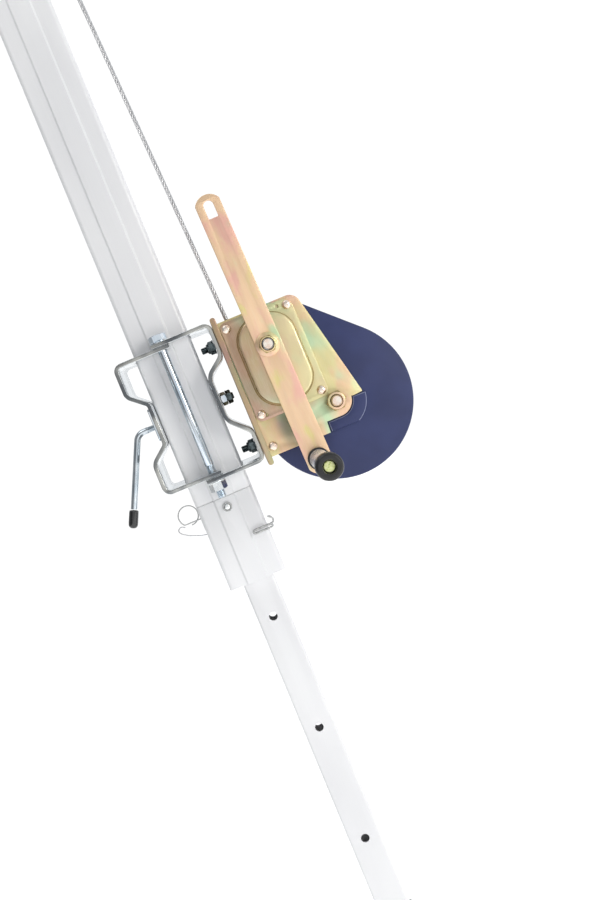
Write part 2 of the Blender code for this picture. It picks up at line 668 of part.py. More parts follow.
def make_housing(bracket):
    """Base plate and side plates: one folded and welded frame."""
    base = slab([rectangle(BASE_TOP - BASE_BOTTOM, BASE_THICKNESS, 0.0024, steps=3)],
                -BASE_HALF_DEPTH, BASE_HALF_DEPTH)
    middle = (BASE_X + BASE_THICKNESS / 2, 0, CLAMP_Z + (BASE_TOP + BASE_BOTTOM) / 2)
    housing = piece("winch_housing", base, CHROMATE, middle, (math.pi / 2, math.pi / 2, 0), bracket)
    place = (0, 0, CLAMP_Z)
    bores = [circle(SHAFT_RADIUS + 0.0004, (CRANK_X, CRANK_Z)), circle(SHAFT_RADIUS + GAP, (AXLE_X, AXLE_Z))]
    small = [circle(0.0027, spot, 12) for spot in (*RIVETS, LOWER_RIVET)]
    for low, holes in ((SIDE_OUT - SIDE_THICKNESS, bores + small), (-SIDE_OUT, bores)):
        plate = slab([side_outline(), *holes], low, low + SIDE_THICKNESS)
        combine(housing, cutter(plate, place, FRONT, bracket), "UNION")
    for height in WINCH_BOLT_Z:
        hole = rod(M8[0] + GAP, 0.050, 0.070, 16)
        combine(housing, cutter(hole, (0, 0, CLAMP_Z + height), SIDEWAYS, bracket))


def bulge(shrink, low, high):
    """The cover's bulge as a drafted block, or its inside."""
    width, height = BULGE_SIZE[0] - 2 * shrink, BULGE_SIZE[1] - 2 * shrink
    radius = BULGE_CORNER - shrink
    draft = BULGE_DRAFT
    return loft([
        (rectangle(width, height, radius, BULGE_CENTRE, 6), low),
        (rectangle(width - draft, height - draft, radius - draft / 2, BULGE_CENTRE, 6), high - 0.004),
        (rectangle(width - 2 * draft, height - 2 * draft, radius - draft, BULGE_CENTRE, 6), high)])


def make_gear_cover(bracket):
    """Pressed gear cover with its bulge, and the rivets that hold it."""
    place = (0, 0, CLAMP_Z)
    low = SIDE_OUT + GAP
    lobe = 0.0072
    z1, (x1, z0) = RIVETS[0][1], RIVETS[2]
    left = BASE_X + BASE_THICKNESS + 2 * GAP
    edge = fillet([(left, z1 + lobe), (x1 + lobe - 0.001, z1 + lobe), (x1 + lobe, z0 - lobe),
                   (left, z0 - lobe)], [0.005, 0.012, 0.007, 0.007], steps=5)
    holes = [circle(0.0027, spot, 12) for spot in RIVETS]
    cover = piece("gear_cover", slab([edge, *holes], low, COVER_OUT), CHROMATE, place, FRONT, bracket)
    combine(cover, cutter(bulge(0, low + SHEET / 2, BULGE_OUT), place, FRONT, bracket), "UNION")
    combine(cover, cutter(bulge(SHEET, low - 0.005, BULGE_OUT - SHEET), place, FRONT, bracket))
    neck = rod(0.0100, 0.060, 0.080, 24)
    combine(cover, cutter(neck, (CRANK_X, 0, CLAMP_Z + CRANK_Z), FRONT, bracket))

    for i, (x, z) in enumerate(RIVETS):
        rivet(f"cover_rivet_{i + 1}", x, z, COVER_OUT + GAP, bracket)
    rivet("plate_rivet", *LOWER_RIVET, SIDE_OUT + GAP, bracket)


def rivet(name, x, z, seat, bracket):
    """A domed rivet whose shank ends flush inside the side plate."""
    inside = SIDE_OUT - SIDE_THICKNESS
    turned(name, [(0, seat + 0.0025), (0.0024, seat + 0.0023), (0.0040, seat + 0.0013), (0.0048, seat),
                  (0.0024, seat), (0.0024, inside), (0, inside)],
           CHROMATE, (x, 0, CLAMP_Z + z), FRONT, bracket, steps=10)


def tangent_x(radius, height):
    """Where the drum cover's straight run reaches a height."""
    across = AXLE_X * math.cos(SHELL_TANGENT) + AXLE_Z * math.sin(SHELL_TANGENT) + radius
    return (across - height * math.sin(SHELL_TANGENT)) / math.cos(SHELL_TANGENT)


def shell_outline(radius, reach):
    """The drum cover's side view: a round end, a straight run up, and an edge at the left."""
    axle = (AXLE_X, AXLE_Z)
    round_end = arc(axle, radius, SHELL_START, SHELL_TANGENT + 2 * math.pi, 34)
    return round_end + [(tangent_x(radius, 0.0680), 0.0680), (0.134 - reach, 0.050), (0.118 - reach, -0.010),
                        (0.090 - reach, -0.058)]


def make_drum_cover(bracket):
    """Blue moulded shell with a raised pad round the axle."""
    place = (0, 0, CLAMP_Z)
    shell = piece("drum_cover", slab([shell_outline(SHELL_RADIUS, 0)], -SHELL_OUT, SHELL_OUT), BLUE,
                  place, FRONT, bracket)
    pad = [spot for spot in arc((AXLE_X, AXLE_Z), PAD_ARC, math.radians(-5), math.radians(-62), 8)]
    pad += [(0.1330, AXLE_Z - 0.0288), (0.1330, -0.0640), (0.1500, -0.0640)]
    pad += arc((AXLE_X, AXLE_Z), 0.0182, math.radians(-80), math.radians(-8), 7)
    combine(shell, cutter(slab([pad], SHELL_OUT - 0.001, SIDE_OUT), place, FRONT, bracket), "UNION")
    inside = slab([inner_shell_outline()], -SHELL_OUT + SHELL_WALL, SHELL_OUT - SHELL_WALL)
    combine(shell, cutter(inside, place, FRONT, bracket))
    bore = rod(SHAFT_RADIUS + 0.0010, -0.06, 0.06, 20)
    combine(shell, cutter(bore, (AXLE_X, 0, CLAMP_Z + AXLE_Z), FRONT, bracket))


def inner_shell_outline():
    """The hollow of the drum cover, run out past its open side."""
    radius = SHELL_RADIUS - SHELL_WALL
    axle = (AXLE_X, AXLE_Z)
    round_end = arc(axle, radius, SHELL_START - 0.10, SHELL_TANGENT + 2 * math.pi, 34)
    return round_end + [(tangent_x(radius, 0.080), 0.080), (0.060, 0.080), (0.060, -0.040)]


def gear_outline(teeth, root, tip, phase):
    """A spur gear's edge: straight-flanked teeth with flat tips."""
    points = []
    pitch = 2 * math.pi / teeth
    for i in range(teeth):
        for share, radius in ((-0.30, root), (-0.13, tip), (0.13, tip), (0.30, root)):
            angle = phase + pitch * (i + share)
            points.append((radius * math.cos(angle), radius * math.sin(angle)))
    return points


def make_drum(bracket, drum):
    """Drum, spur gear, wound rope, axle and nut."""
    place = (AXLE_X, 0, CLAMP_Z + AXLE_Z)
    bore = SHAFT_RADIUS + 0.0004
    turned("drum", [(0.020, 0.0435), (0.020, 0.0362), (FLANGE_RADIUS, 0.0362), (FLANGE_RADIUS, 0.0342),
                    (HUB_RADIUS, 0.0342), (HUB_RADIUS, -0.0380), (FLANGE_RADIUS, -0.0380),
                    (FLANGE_RADIUS, -0.0400), (HUB_RADIUS - HUB_WALL, -0.0400), (HUB_RADIUS - HUB_WALL, 0.0320),
                    (0.0105, 0.0320), (0.0105, -0.0400), (bore, -0.0400), (bore, 0.0435)],
           STEEL, place, FRONT, drum, steps=32)
    towards_crank = math.pi / 2 + CENTRE_ANGLE
    pitch_radius = MODULE * GEAR_TEETH / 2
    edge = gear_outline(GEAR_TEETH, pitch_radius - 1.30 * MODULE, pitch_radius + 0.90 * MODULE, towards_crank)
    piece("drum_gear", slab([edge, circle(0.020 + GAP, steps=32)], 0.0362 + GAP, 0.0432), STEEL, place, FRONT, drum)
    turned("rope_winding", ring_profile(WINDING_RADIUS, HUB_RADIUS + GAP, -0.0380 + GAP, 0.0342 - GAP),
           ROPE, place, FRONT, drum, steps=32)

    nut("axle_nut", M12, 0.0105, CHROMATE, (AXLE_X, -SIDE_OUT - GAP, place[2]), FRONT, bracket)
    bolt("drum_axle", (SHAFT_RADIUS, M12[1], 0.0075), 2 * SIDE_OUT + 0.0150, CHROMATE,
         (AXLE_X, SIDE_OUT + GAP, place[2]), (-math.pi / 2, 0, 0), bracket)


def make_rope(bracket):
    """The taut rope from the drum up to its ferrule and thimble."""
    lean = Vector((-math.sin(ROPE_LEAN), 0, math.cos(ROPE_LEAN)))
    out = Vector((-math.cos(ROPE_LEAN), 0, -math.sin(ROPE_LEAN)))
    start = Vector((AXLE_X, 0, CLAMP_Z + AXLE_Z)) + out * (WINDING_RADIUS + GAP + ROPE_RADIUS)
    length = (CLAMP_Z + ROPE_END - start.z) / lean.z
    count = 16
    route = [start + lean * (length * i / count) for i in range(count + 1)]
    piece("wire_rope", wire(route, ROPE_RADIUS), ROPE, parent=bracket)

    end = start + lean * length
    turned("rope_ferrule", [(0, FERRULE_LENGTH), (0.0042, FERRULE_LENGTH), (0.0052, FERRULE_LENGTH - 0.001),
                            (0.0052, 0.001), (0.0042, 0), (0, 0)],
           ZINC, end + lean * GAP, (0, -ROPE_LEAN, 0), bracket, steps=16)
    eye = 0.0105
    middle = FERRULE_LENGTH + 2 * GAP + 0.0026 + 0.0185
    loop = [(x, 0, z) for x, z in arc((0, middle), eye, math.radians(-28), math.radians(208), 14)]
    loop += [(-0.0045, 0, middle - 0.0135), (0, 0, middle - 0.0185), (0.0045, 0, middle - 0.0135)]
    piece("rope_thimble", wire(loop, 0.0026, closed=True), ZINC, end, (0, -ROPE_LEAN, 0), bracket)


def make_brake(bracket, pawl):
    """Ratchet wheel, pawl, its pin and its spring, all inside the bulge."""
    shaft = (CRANK_X, 0, CLAMP_Z + CRANK_Z)
    points = []
    face = PAWL_ANGLE + math.asin(0.0004 / PAWL_RADIUS)
    pitch = 2 * math.pi / RATCHET_TEETH
    for i in range(RATCHET_TEETH):
        for share, radius in ((0, RATCHET_ROOT), (0, RATCHET_OUT), (0.2, RATCHET_OUT - 0.0003)):
            angle = face + pitch * (i + share)
            points.append((radius * math.cos(angle), radius * math.sin(angle)))
    piece("ratchet_wheel", slab([points, circle(SHAFT_RADIUS + 0.0004)], 0.0548, 0.0598), STEEL,
          shaft, FRONT, bracket)

    along = Vector((-math.sin(PAWL_ANGLE), math.cos(PAWL_ANGLE)))
    outward = Vector((math.cos(PAWL_ANGLE), math.sin(PAWL_ANGLE)))
    pin = Vector((CRANK_X, CRANK_Z)) + outward * PAWL_RADIUS - along * PAWL_LENGTH
    hub = 0.0052
    body = [(PAWL_LENGTH, -0.0001), (PAWL_LENGTH, 0.0032)]
    body += arc((0, 0), hub, math.radians(80), math.radians(285), 12)
    body += [(PAWL_LENGTH - 0.010, 0.0012)]
    outline = [tuple(along * e + outward * n) for e, n in body]
    hole = circle(0.0026 + GAP, steps=16)
    piece("pawl", slab([outline, hole], 0.0550, 0.0596), STEEL, (pin.x, 0, CLAMP_Z + pin.y), FRONT, pawl)
    pivot = (pin.x, 0, CLAMP_Z + pin.y)
    seat = SIDE_OUT + GAP
    turned("pawl_pin", [(0, 0.0650), (0.0040, 0.0650), (0.0040, 0.0630), (0.0026, 0.0630), (0.0026, 0.0545),
                        (0.0050, 0.0545), (0.0050, seat), (0, seat)],
           STEEL, pivot, FRONT, bracket, steps=16)
    turns, per_turn = 2.2, 10
    count = int(turns * per_turn)
    coil = [(0.0036 * math.cos(2 * math.pi * i / per_turn), 0.0036 * math.sin(2 * math.pi * i / per_turn),
             0.0602 + 0.0011 * i / per_turn) for i in range(count + 1)]
    coil.append((0.0036, 0.0090, coil[-1][2]))
    piece("pawl_spring", wire(coil, 0.0004, sides=0), STEEL, pivot, FRONT, bracket)
    return pin


def tilted(spot):
    """A place on the crank bar, turned with it about the shaft."""
    x, y = spot
    return (x * math.cos(BAR_TILT) - y * math.sin(BAR_TILT), x * math.sin(BAR_TILT) + y * math.cos(BAR_TILT))


GRIP_X, GRIP_Z = (a + b for a, b in zip((CRANK_X, CRANK_Z), tilted((BAR_SHIFT, -GRIP_DROP))))


def make_crank(crank, grip):
    """Crank shaft with pinion and brake discs, crank bar and grip."""
    shaft = (CRANK_X, 0, CLAMP_Z + CRANK_Z)
    r = SHAFT_RADIUS
    turned("crank_shaft", [(0, 0.0930), (r - 0.0008, 0.0930), (r, 0.0920), (r, 0.0526), (0.0130, 0.0526),
                           (0.0130, SIDE_OUT + 0.0006), (r, SIDE_OUT + 0.0006), (r, -0.0560),
                           (r - 0.001, -0.0570), (0, -0.0570)], STEEL, shaft, FRONT, crank)
    towards_drum = math.pi / 2 + CENTRE_ANGLE + math.pi
    pitch_radius = MODULE * PINION_TEETH / 2
    edge = gear_outline(PINION_TEETH, pitch_radius - 1.25 * MODULE, pitch_radius + 0.90 * MODULE,
                        towards_drum + math.pi / PINION_TEETH)
    piece("pinion", slab([edge, circle(r + GAP)], 0.0368, 0.0436), STEEL, shaft, FRONT, crank)
    for name, low in (("inner_friction_disc", 0.0529), ("outer_friction_disc", 0.0601)):
        turned(name, ring_profile(0.0140, r + GAP, low, low + 0.0016), LINING, shaft, FRONT, crank)
    turned("brake_hub", [(0.0085, 0.0727), (0.0085, 0.0675), (0.0130, 0.0675), (0.0130, 0.0620),
                         (r + GAP, 0.0620), (r + GAP, 0.0727)], STEEL, shaft, FRONT, crank)

    half, x, end = BAR_WIDTH / 2, BAR_SHIFT, BAR_END_RADIUS
    corner = math.acos(half / end)
    bar = arc((x, BAR_TOP - end), end, corner, math.pi - corner, 12)
    bar += arc((x, -GRIP_DROP), end, math.pi + corner, 2 * math.pi - corner, 12)
    s = SLOT_WIDTH / 2
    slot_top, slot_foot = SLOT_MIDDLE + SLOT_HEIGHT / 2 - s, SLOT_MIDDLE - SLOT_HEIGHT / 2
    slot = arc((x, slot_top), s, 0, math.pi, 8) + [(x - s, slot_foot), (x + s, slot_foot)]
    stud_hole = circle(0.0050 + GAP, (x, -GRIP_DROP), 16)
    outlines = [[tilted(spot) for spot in outline] for outline in (bar, slot, stud_hole)]
    piece("crank_bar", slab([*outlines, circle(r + GAP)], BAR_BACK, BAR_FRONT), CHROMATE, shaft, FRONT, crank)
    nut("crank_nut", M12, 0.0115, CHROMATE, (CRANK_X, -BAR_FRONT - GAP, shaft[2]), FRONT, crank, flange=0.0030)

    stud = (GRIP_X, 0, CLAMP_Z + GRIP_Z)
    front = GRIP_END - 0.0050
    turned("grip_stud", [(0, front), (0.0052, front), (0.0060, front - 0.0008), (0.0060, front - 0.0025),
                         (0.0050, front - 0.0025), (0.0050, BAR_BACK - GAP), (0.0080, BAR_BACK - GAP),
                         (0.0070, BAR_BACK - 0.0025), (0, BAR_BACK - 0.0025)], CHROMATE, stud, FRONT, crank)
    bore = 0.0050 + 0.0004
    base = BAR_FRONT + 0.0005
    turned("grip_inner_flange", ring_profile(0.0117, bore, base, base + 0.0040, 0.0010), BLACK, stud, FRONT, grip)
    turned("grip_sleeve", ring_profile(GRIP_RADIUS, bore, base + 0.0043, GRIP_END - 0.0160), ZINC,
           stud, FRONT, grip)
    low = GRIP_END - 0.0157
    turned("grip_outer_flange", [(0.0085, GRIP_END), (0.0110, GRIP_END), (0.0127, GRIP_END - 0.0013),
                                 (0.0133, GRIP_END - 0.0036), (0.0133, low + 0.0030), (0.0125, low + 0.0008),
                                 (0.0110, low), (bore, low), (bore, front - 0.0030), (0.0068, front - 0.0030),
                                 (0.0068, GRIP_END - 0.0020)], BLACK, stud, FRONT, grip)


# ------------------------------------------------------------------ assembly

def build():
    """Make every piece on its joint's empty."""
    make_leg()
    make_tether()
    bracket = axis_empty("clamp_slide_axis", 0, 0, CLAMP_Z)
    pad = axis_empty("pad_advance_axis", 0, 0, CLAMP_Z + SCREW_Z, bracket)
    screw = axis_empty("screw_turn_axis", 0, 0, CLAMP_Z + SCREW_Z, pad)
    drum = axis_empty("drum_spin_axis", AXLE_X, 0, CLAMP_Z + AXLE_Z, bracket)
    crank = axis_empty("crank_spin_axis", CRANK_X, 0, CLAMP_Z + CRANK_Z, bracket)
    grip = axis_empty("grip_spin_axis", GRIP_X, 0, CLAMP_Z + GRIP_Z, crank)
    pawl = axis_empty("pawl_lift_axis", CRANK_X, 0, CLAMP_Z, bracket)
    make_clamp(bracket)
    make_clamp_screw(bracket, pad, screw)
    make_side_fasteners(bracket)
    make_housing(bracket)
    make_gear_cover(bracket)
    make_drum_cover(bracket)
    make_drum(bracket, drum)
    make_rope(bracket)
    make_brake(bracket, pawl)
    make_crank(crank, grip)


build()
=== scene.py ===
"""Looks of a hand winch on a clamp bracket, carried by a telescopic aluminium leg.

Metres. +Z runs up the leg, +X from the leg to the winch, and -Y is the crank
side. Heights below are measured from the clamp's middle height, CLAMP_Z, and
"forward" is a distance towards -Y.
"""
import math

import bmesh
import bpy
from mathutils import Matrix, Vector


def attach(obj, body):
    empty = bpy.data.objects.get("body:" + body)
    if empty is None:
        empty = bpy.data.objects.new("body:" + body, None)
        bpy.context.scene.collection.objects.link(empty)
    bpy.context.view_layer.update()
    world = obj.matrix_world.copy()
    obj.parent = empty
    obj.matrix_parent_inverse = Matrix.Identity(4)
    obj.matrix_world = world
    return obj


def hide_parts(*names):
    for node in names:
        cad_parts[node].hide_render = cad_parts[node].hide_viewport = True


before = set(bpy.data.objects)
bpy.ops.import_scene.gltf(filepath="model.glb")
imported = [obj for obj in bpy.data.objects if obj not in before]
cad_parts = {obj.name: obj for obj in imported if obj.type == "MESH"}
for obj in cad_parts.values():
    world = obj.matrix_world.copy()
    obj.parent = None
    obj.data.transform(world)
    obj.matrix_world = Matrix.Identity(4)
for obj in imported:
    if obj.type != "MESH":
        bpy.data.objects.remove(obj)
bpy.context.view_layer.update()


# ---------------------------------------------------------------- camera
# A long-ish lens level with the clamp, square on to the crank side, and rolled
# so that the leg leans to the left at its top. The subject sits off the axis.

CLAMP_Z = -0.525
GAP = 0.0003                # air left between pieces that touch
ROLL = math.radians(22.5)


def linked(name, data):
    """A new object in the scene."""
    obj = bpy.data.objects.new(name, data)
    bpy.context.scene.collection.objects.link(obj)
    return obj


lens = bpy.data.cameras.new("camera")
lens.lens = 44.24
lens.shift_x, lens.shift_y = 0.0722, -0.0611
lens.clip_start = 0.05
camera = linked("camera", lens)
camera.matrix_world = Matrix((
    (math.cos(ROLL), math.sin(ROLL), 0, 0.0533),
    (0, 0, -1, -1.210),
    (-math.sin(ROLL), math.cos(ROLL), 0, CLAMP_Z),
    (0, 0, 0, 1)))
bpy.context.scene.camera = camera


# ---------------------------------------------------------------- floor and light
# A white studio: a pale floor below the foot, a white backdrop, and soft light
# that is dimmer from the camera's side and from the left, so bright metal
# shows darker edges there.

def studio_world():
    """White to the camera, and a soft gradient of light to everything else."""
    world = bpy.data.worlds.new("studio")
    world.use_nodes = True
    bpy.context.scene.world = world
    nodes, links = world.node_tree.nodes, world.node_tree.links
    nodes.clear()
    output = nodes.new("ShaderNodeOutputWorld")
    spot = nodes.new("ShaderNodeTexCoord")
    split = nodes.new("ShaderNodeSeparateXYZ")
    links.new(spot.outputs["Generated"], split.inputs[0])
    total = None
    for axis, low, high in (("Y", 0.50, 1.00), ("X", 0.45, 1.10), ("Z", 0.84, 1.00)):
        reach = nodes.new("ShaderNodeMapRange")
        reach.interpolation_type = "SMOOTHSTEP"
        reach.inputs["From Min"].default_value = -0.75
        reach.inputs["From Max"].default_value = 0.35
        reach.inputs["To Min"].default_value = low
        reach.inputs["To Max"].default_value = high
        links.new(split.outputs[axis], reach.inputs["Value"])
        if total is None:
            total = reach.outputs[0]
            continue
        times = nodes.new("ShaderNodeMath")
        times.operation = "MULTIPLY"
        links.new(total, times.inputs[0])
        links.new(reach.outputs[0], times.inputs[1])
        total = times.outputs[0]
    glow, white = nodes.new("ShaderNodeBackground"), nodes.new("ShaderNodeBackground")
    glow.inputs["Color"].default_value = (0.96, 0.98, 1.0, 1)
    white.inputs["Color"].default_value = (1, 1, 1, 1)
    white.inputs["Strength"].default_value = 1.05
    links.new(total, glow.inputs["Strength"])
    pick, path = nodes.new("ShaderNodeMixShader"), nodes.new("ShaderNodeLightPath")
    links.new(path.outputs["Is Camera Ray"], pick.inputs[0])
    links.new(glow.outputs[0], pick.inputs[1])
    links.new(white.outputs[0], pick.inputs[2])
    links.new(pick.outputs[0], output.inputs[0])


def soft_box(name, place, aim, size, power, tint=(1, 1, 1)):
    """A square area light pointed at a place."""
    light = bpy.data.lights.new(name, "AREA")
    light.size = size
    light.energy = power
    light.color = tint
    box = linked(name, light)
    turn = (Vector(aim) - Vector(place)).to_track_quat("-Z", "Y").to_matrix().to_4x4()
    box.matrix_world = Matrix.Translation(place) @ turn


studio_world()
soft_box("key", (1.30, -1.45, -0.35), (0.05, 0, -0.5), 0.6, 10, (1, 0.98, 0.95))
soft_box("top", (-0.5, -0.7, 1.1), (0.0, 0, -0.5), 0.8, 4.5)
soft_box("front_fill", (-0.25, -2.0, -0.75), (0.05, 0, -0.55), 1.6, 4)
soft_box("low_fill", (0.1, -1.3, -1.9), (0.1, 0, -0.6), 0.8, 4, (0.95, 0.98, 1))
bpy.context.scene.view_settings.view_transform = "Standard"

floor_mesh = bpy.data.meshes.new("floor")
FLOOR_Z = -1.168    # just below the foot
floor_corners = [(x, y, FLOOR_Z) for x, y in ((-4, -3), (4, -3), (4, 5), (-4, 5))]
floor_mesh.from_pydata(floor_corners, [], [(0, 1, 2, 3)])
floor_look = bpy.data.materials.new("floor")
floor_look.use_nodes = True
floor_shader = floor_look.node_tree.nodes["Principled BSDF"]
floor_shader.inputs["Base Color"].default_value = (0.88, 0.88, 0.88, 1)
floor_shader.inputs["Roughness"].default_value = 0.7
floor_shader.inputs["Emission Color"].default_value = (1, 1, 1, 1)
floor_shader.inputs["Emission Strength"].default_value = 0.6
floor_mesh.materials.append(floor_look)
linked("floor", floor_mesh)


# ---------------------------------------------------------------- outer rail and its plug
# Extruded aluminium box rail with a raised band along the front and the back,
# satin anodised. A black plastic plug is pressed into its head end.

class Value:
    """A shader socket that ordinary Python arithmetic goes on from."""

    def __init__(self, shader, socket):
        self.shader, self.socket = shader, socket

    def math(self, operation, other):
        """A Math node on this value and another."""
        return self.shader.node("ShaderNodeMath", {"operation": operation}, {0: self, 1: other})

    def __add__(self, other):
        return self.math("ADD", other)

    def __mul__(self, other):
        return self.math("MULTIPLY", other)

    def ramp(self, low, high, start=0.0, end=1.0):
        """Goes from start to end as this value goes from low to high."""
        return self.shader.node("ShaderNodeMapRange", {"interpolation_type": "SMOOTHSTEP"}, {
            "Value": self, "From Min": low, "From Max": high, "To Min": start, "To Max": end})


class Shader:
    """A procedural material whose varying values are Python expressions."""

    def __init__(self, name, **constants):
        self.material = bpy.data.materials.new(name)
        self.material.use_nodes = True
        self.tree = self.material.node_tree
        self.surface = self.tree.nodes["Principled BSDF"]
        for label, value in constants.items():
            self.set(label.replace("_", " ").title().replace("Ior", "IOR"), value)

    def put(self, socket, value):
        """Link or set one socket."""
        if isinstance(value, Value):
            self.tree.links.new(value.socket, socket)
        elif socket.type == "RGBA":
            socket.default_value = (*value, 1)
        else:
            socket.default_value = value

    def set(self, label, value):
        """Link or set one socket of the surface."""
        self.put(self.surface.inputs[label], value)

    def node(self, kind, settings=None, inputs=None, output=0):
        """Any node, from its type, its settings and its sockets."""
        made = self.tree.nodes.new(kind)
        for label, value in (settings or {}).items():
            setattr(made, label, value)
        for label, value in (inputs or {}).items():
            self.put(made.inputs[label], value)
        return Value(self, made.outputs[output])

    def place(self, scale=(1, 1, 1), centre=(0, 0, 0)):
        """The piece's own coordinates from a centre, scaled."""
        spot = self.node("ShaderNodeTexCoord", output="Object")
        spot = self.node("ShaderNodeVectorMath", {"operation": "SUBTRACT"}, {0: spot, 1: centre})
        return self.node("ShaderNodeVectorMath", {"operation": "MULTIPLY"}, {0: spot, 1: scale})

    def noise(self, scale, detail=2.0, roughness=0.5, centre=(0, 0, 0)):
        """Noise with so many cells a metre along each axis."""
        return self.node("ShaderNodeTexNoise", {}, {
            "Vector": self.place(scale, centre), "Scale": 1.0, "Detail": detail, "Roughness": roughness})

    def mix(self, share, first, second):
        """A colour between two."""
        return self.node("ShaderNodeMix", {"data_type": "RGBA"}, {0: share, 6: first, 7: second}, 2)

    def bump(self, height, depth):
        """Surface relief, its full height depth metres."""
        self.set("Normal", self.node("ShaderNodeBump", {}, {"Height": height, "Distance": depth}))


def mottled(name, scale, first, second, smooth, spread=None, detail=2.0, centre=(0, 0, 0), **constants):
    """A material of two colours in patches, which its roughness follows, between the two values of smooth."""
    look = Shader(name, **constants)
    patch = look.noise(scale, detail, 0.5, centre)
    look.set("Base Color", look.mix(patch.ramp(*spread) if spread else patch, first, second))
    look.set("Roughness", patch.ramp(0.3, 0.7, *smooth))
    return look


def shape(form, turn=None):
    """A mesh with outward faces, smooth but for its real edges, from a bmesh."""
    bmesh.ops.remove_doubles(form, verts=form.verts, dist=1e-6)
    bmesh.ops.recalc_face_normals(form, faces=form.faces)
    if turn is not None:
        form.transform(turn)
    mesh = bpy.data.meshes.new("form")
    form.to_mesh(mesh)
    form.free()
    mesh.shade_smooth()
    mesh.set_sharp_from_angle(angle=math.radians(32))
    return mesh


def loft(rings, turn=None, loop=False):
    """A solid through rings of 3-D points: capped, or a tube that closes on its first ring."""
    form = bmesh.new()
    rows = [[form.verts.new(point) for point in ring] for ring in rings]
    pairs = list(zip(rows, rows[1:]))
    if loop:
        pairs.append((rows[-1], rows[0]))
    else:
        form.faces.new(rows[0][::-1])
        form.faces.new(rows[-1])
    for low, high in pairs:
        for i in range(len(low)):
            j = (i + 1) % len(low)
            form.faces.new((low[i], low[j], high[j], high[i]))
    return shape(form, turn)


def arc(centre, radius, start, end, steps):
    """Points along an arc, both ends included."""
    return [(centre[0] + radius * math.cos(start + (end - start) * i / steps),
             centre[1] + radius * math.sin(start + (end - start) * i / steps))
            for i in range(steps + 1)]


def fillet(corners, radii, steps=4, closed=True):
    """Round a polygon's corners. radii is one radius, or one for each corner."""
    if not isinstance(radii, (list, tuple)):
        radii = [radii] * len(corners)
    points = []
    for i, (corner, radius) in enumerate(zip(corners, radii)):
        at_end = not closed and i in (0, len(corners) - 1)
        if at_end or radius == 0:
            points.append(tuple(corner))
            continue
        here = Vector(corner)
        back = (Vector(corners[i - 1]) - here).normalized()
        ahead = (Vector(corners[(i + 1) % len(corners)]) - here).normalized()
        half = back.angle(ahead) / 2
        if half > 1.56:
            points.append(tuple(corner))
            continue
        centre = here + (back + ahead).normalized() * (radius / math.sin(half))
        start = here + back * (radius / math.tan(half)) - centre
        end = here + ahead * (radius / math.tan(half)) - centre
        turn = math.atan2(start.x * end.y - start.y * end.x, start.dot(end))
        first = math.atan2(start.y, start.x)
        points += arc(centre, radius, first, first + turn, steps)
    return points


def add_piece(name, mesh, look, body, nodes=()):
    """Link one piece at the origin, ride it on its body and hide the CAD nodes that it stands for."""
    mesh.materials.clear()
    mesh.materials.append(look.material)
    obj = linked(name, mesh)
    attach(obj, body)
    if nodes:
        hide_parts(*nodes)
    return obj


def face_look(obj, look, chosen):
    """Give the faces that pass a test a material of their own."""
    obj.data.materials.append(look.material)
    for face in obj.data.polygons:
        if chosen(face):
            face.material_index = 1


RAIL_WIDTH, RAIL_DEPTH = 0.064, 0.046       # depth without the raised bands
BAND_WIDTH, BAND_RISE = 0.0215, 0.002
RAIL_CORNER, BAND_CORNER = 0.0045, 0.0007


def rail_section(shrink=0.0):
    """The rail's section, or one inside it: a rounded box with a raised band front and back."""
    x, y = RAIL_WIDTH / 2 - shrink, RAIL_DEPTH / 2 - shrink
    b, rise = (BAND_WIDTH - shrink) / 2, BAND_RISE
    corners = [(-x, -y), (-b - rise, -y), (-b, -y - rise), (b, -y - rise), (b + rise, -y), (x, -y),
               (x, y), (b + rise, y), (b, y + rise), (-b, y + rise), (-b - rise, y), (-x, y)]
    corner = max(RAIL_CORNER - shrink, 0.001)
    return fillet(corners, [corner if abs(point[0]) == x else BAND_CORNER for point in corners], 5)


aluminium = Shader("drawn_aluminium", metallic=0.22, specular_ior_level=0.6)
draw_lines = aluminium.noise((1400, 1400, 9), 3.0, 0.6)
cloud = aluminium.noise((14, 14, 5), 2.0)
aluminium.set("Base Color", aluminium.mix(cloud.ramp(0.3, 0.7) * 0.6 + draw_lines * 0.35,
                                          (0.72, 0.72, 0.735), (0.84, 0.84, 0.845)))
aluminium.set("Roughness", draw_lines.ramp(0.3, 0.7, 0.34, 0.48) + cloud * 0.05)
aluminium.bump(draw_lines, 0.00004)

black = Shader("black_plastic", base_color=(0.012, 0.012, 0.013))
grain = black.noise((2600, 2600, 2600), 2.0)
black.set("Roughness", grain.ramp(0.3, 0.7, 0.28, 0.42))
black.bump(grain, 0.00002)

RAIL_LOW, RAIL_HIGH = CLAMP_Z - 0.0962, -0.0053
RAIL_WALL, CHAMFER = 0.003, 0.0004
rail_rings = []
for shrink, height in ((CHAMFER, RAIL_LOW), (0, RAIL_LOW + CHAMFER), (0, RAIL_HIGH - CHAMFER),
                       (CHAMFER, RAIL_HIGH), (RAIL_WALL, RAIL_HIGH), (RAIL_WALL, RAIL_LOW)):
    rail_rings.append([(x, y, height) for x, y in rail_section(shrink)])
add_piece("rail", loft(rail_rings, loop=True), aluminium, "leg", ["outer_rail"])

plug_rings = []
for shrink, height in ((0.0033, -0.0350), (0.0033, -0.0051), (0.0001, -0.0050), (0, -0.0046), (0, -0.0012),
                       (0.0004, -0.0003), (0.0012, 0)):
    plug_rings.append([(x, y, height) for x, y in rail_section(shrink)])
add_piece("rail_plug", loft(plug_rings), black, "leg", ["rail_top_plug"])


# ---------------------------------------------------------------- guide collar
# The lowest part of the outer rail: a short length of the same extrusion with a
# spigot up into the rail, a rectangular way for the inner leg, and a bore for
# the locking pin.

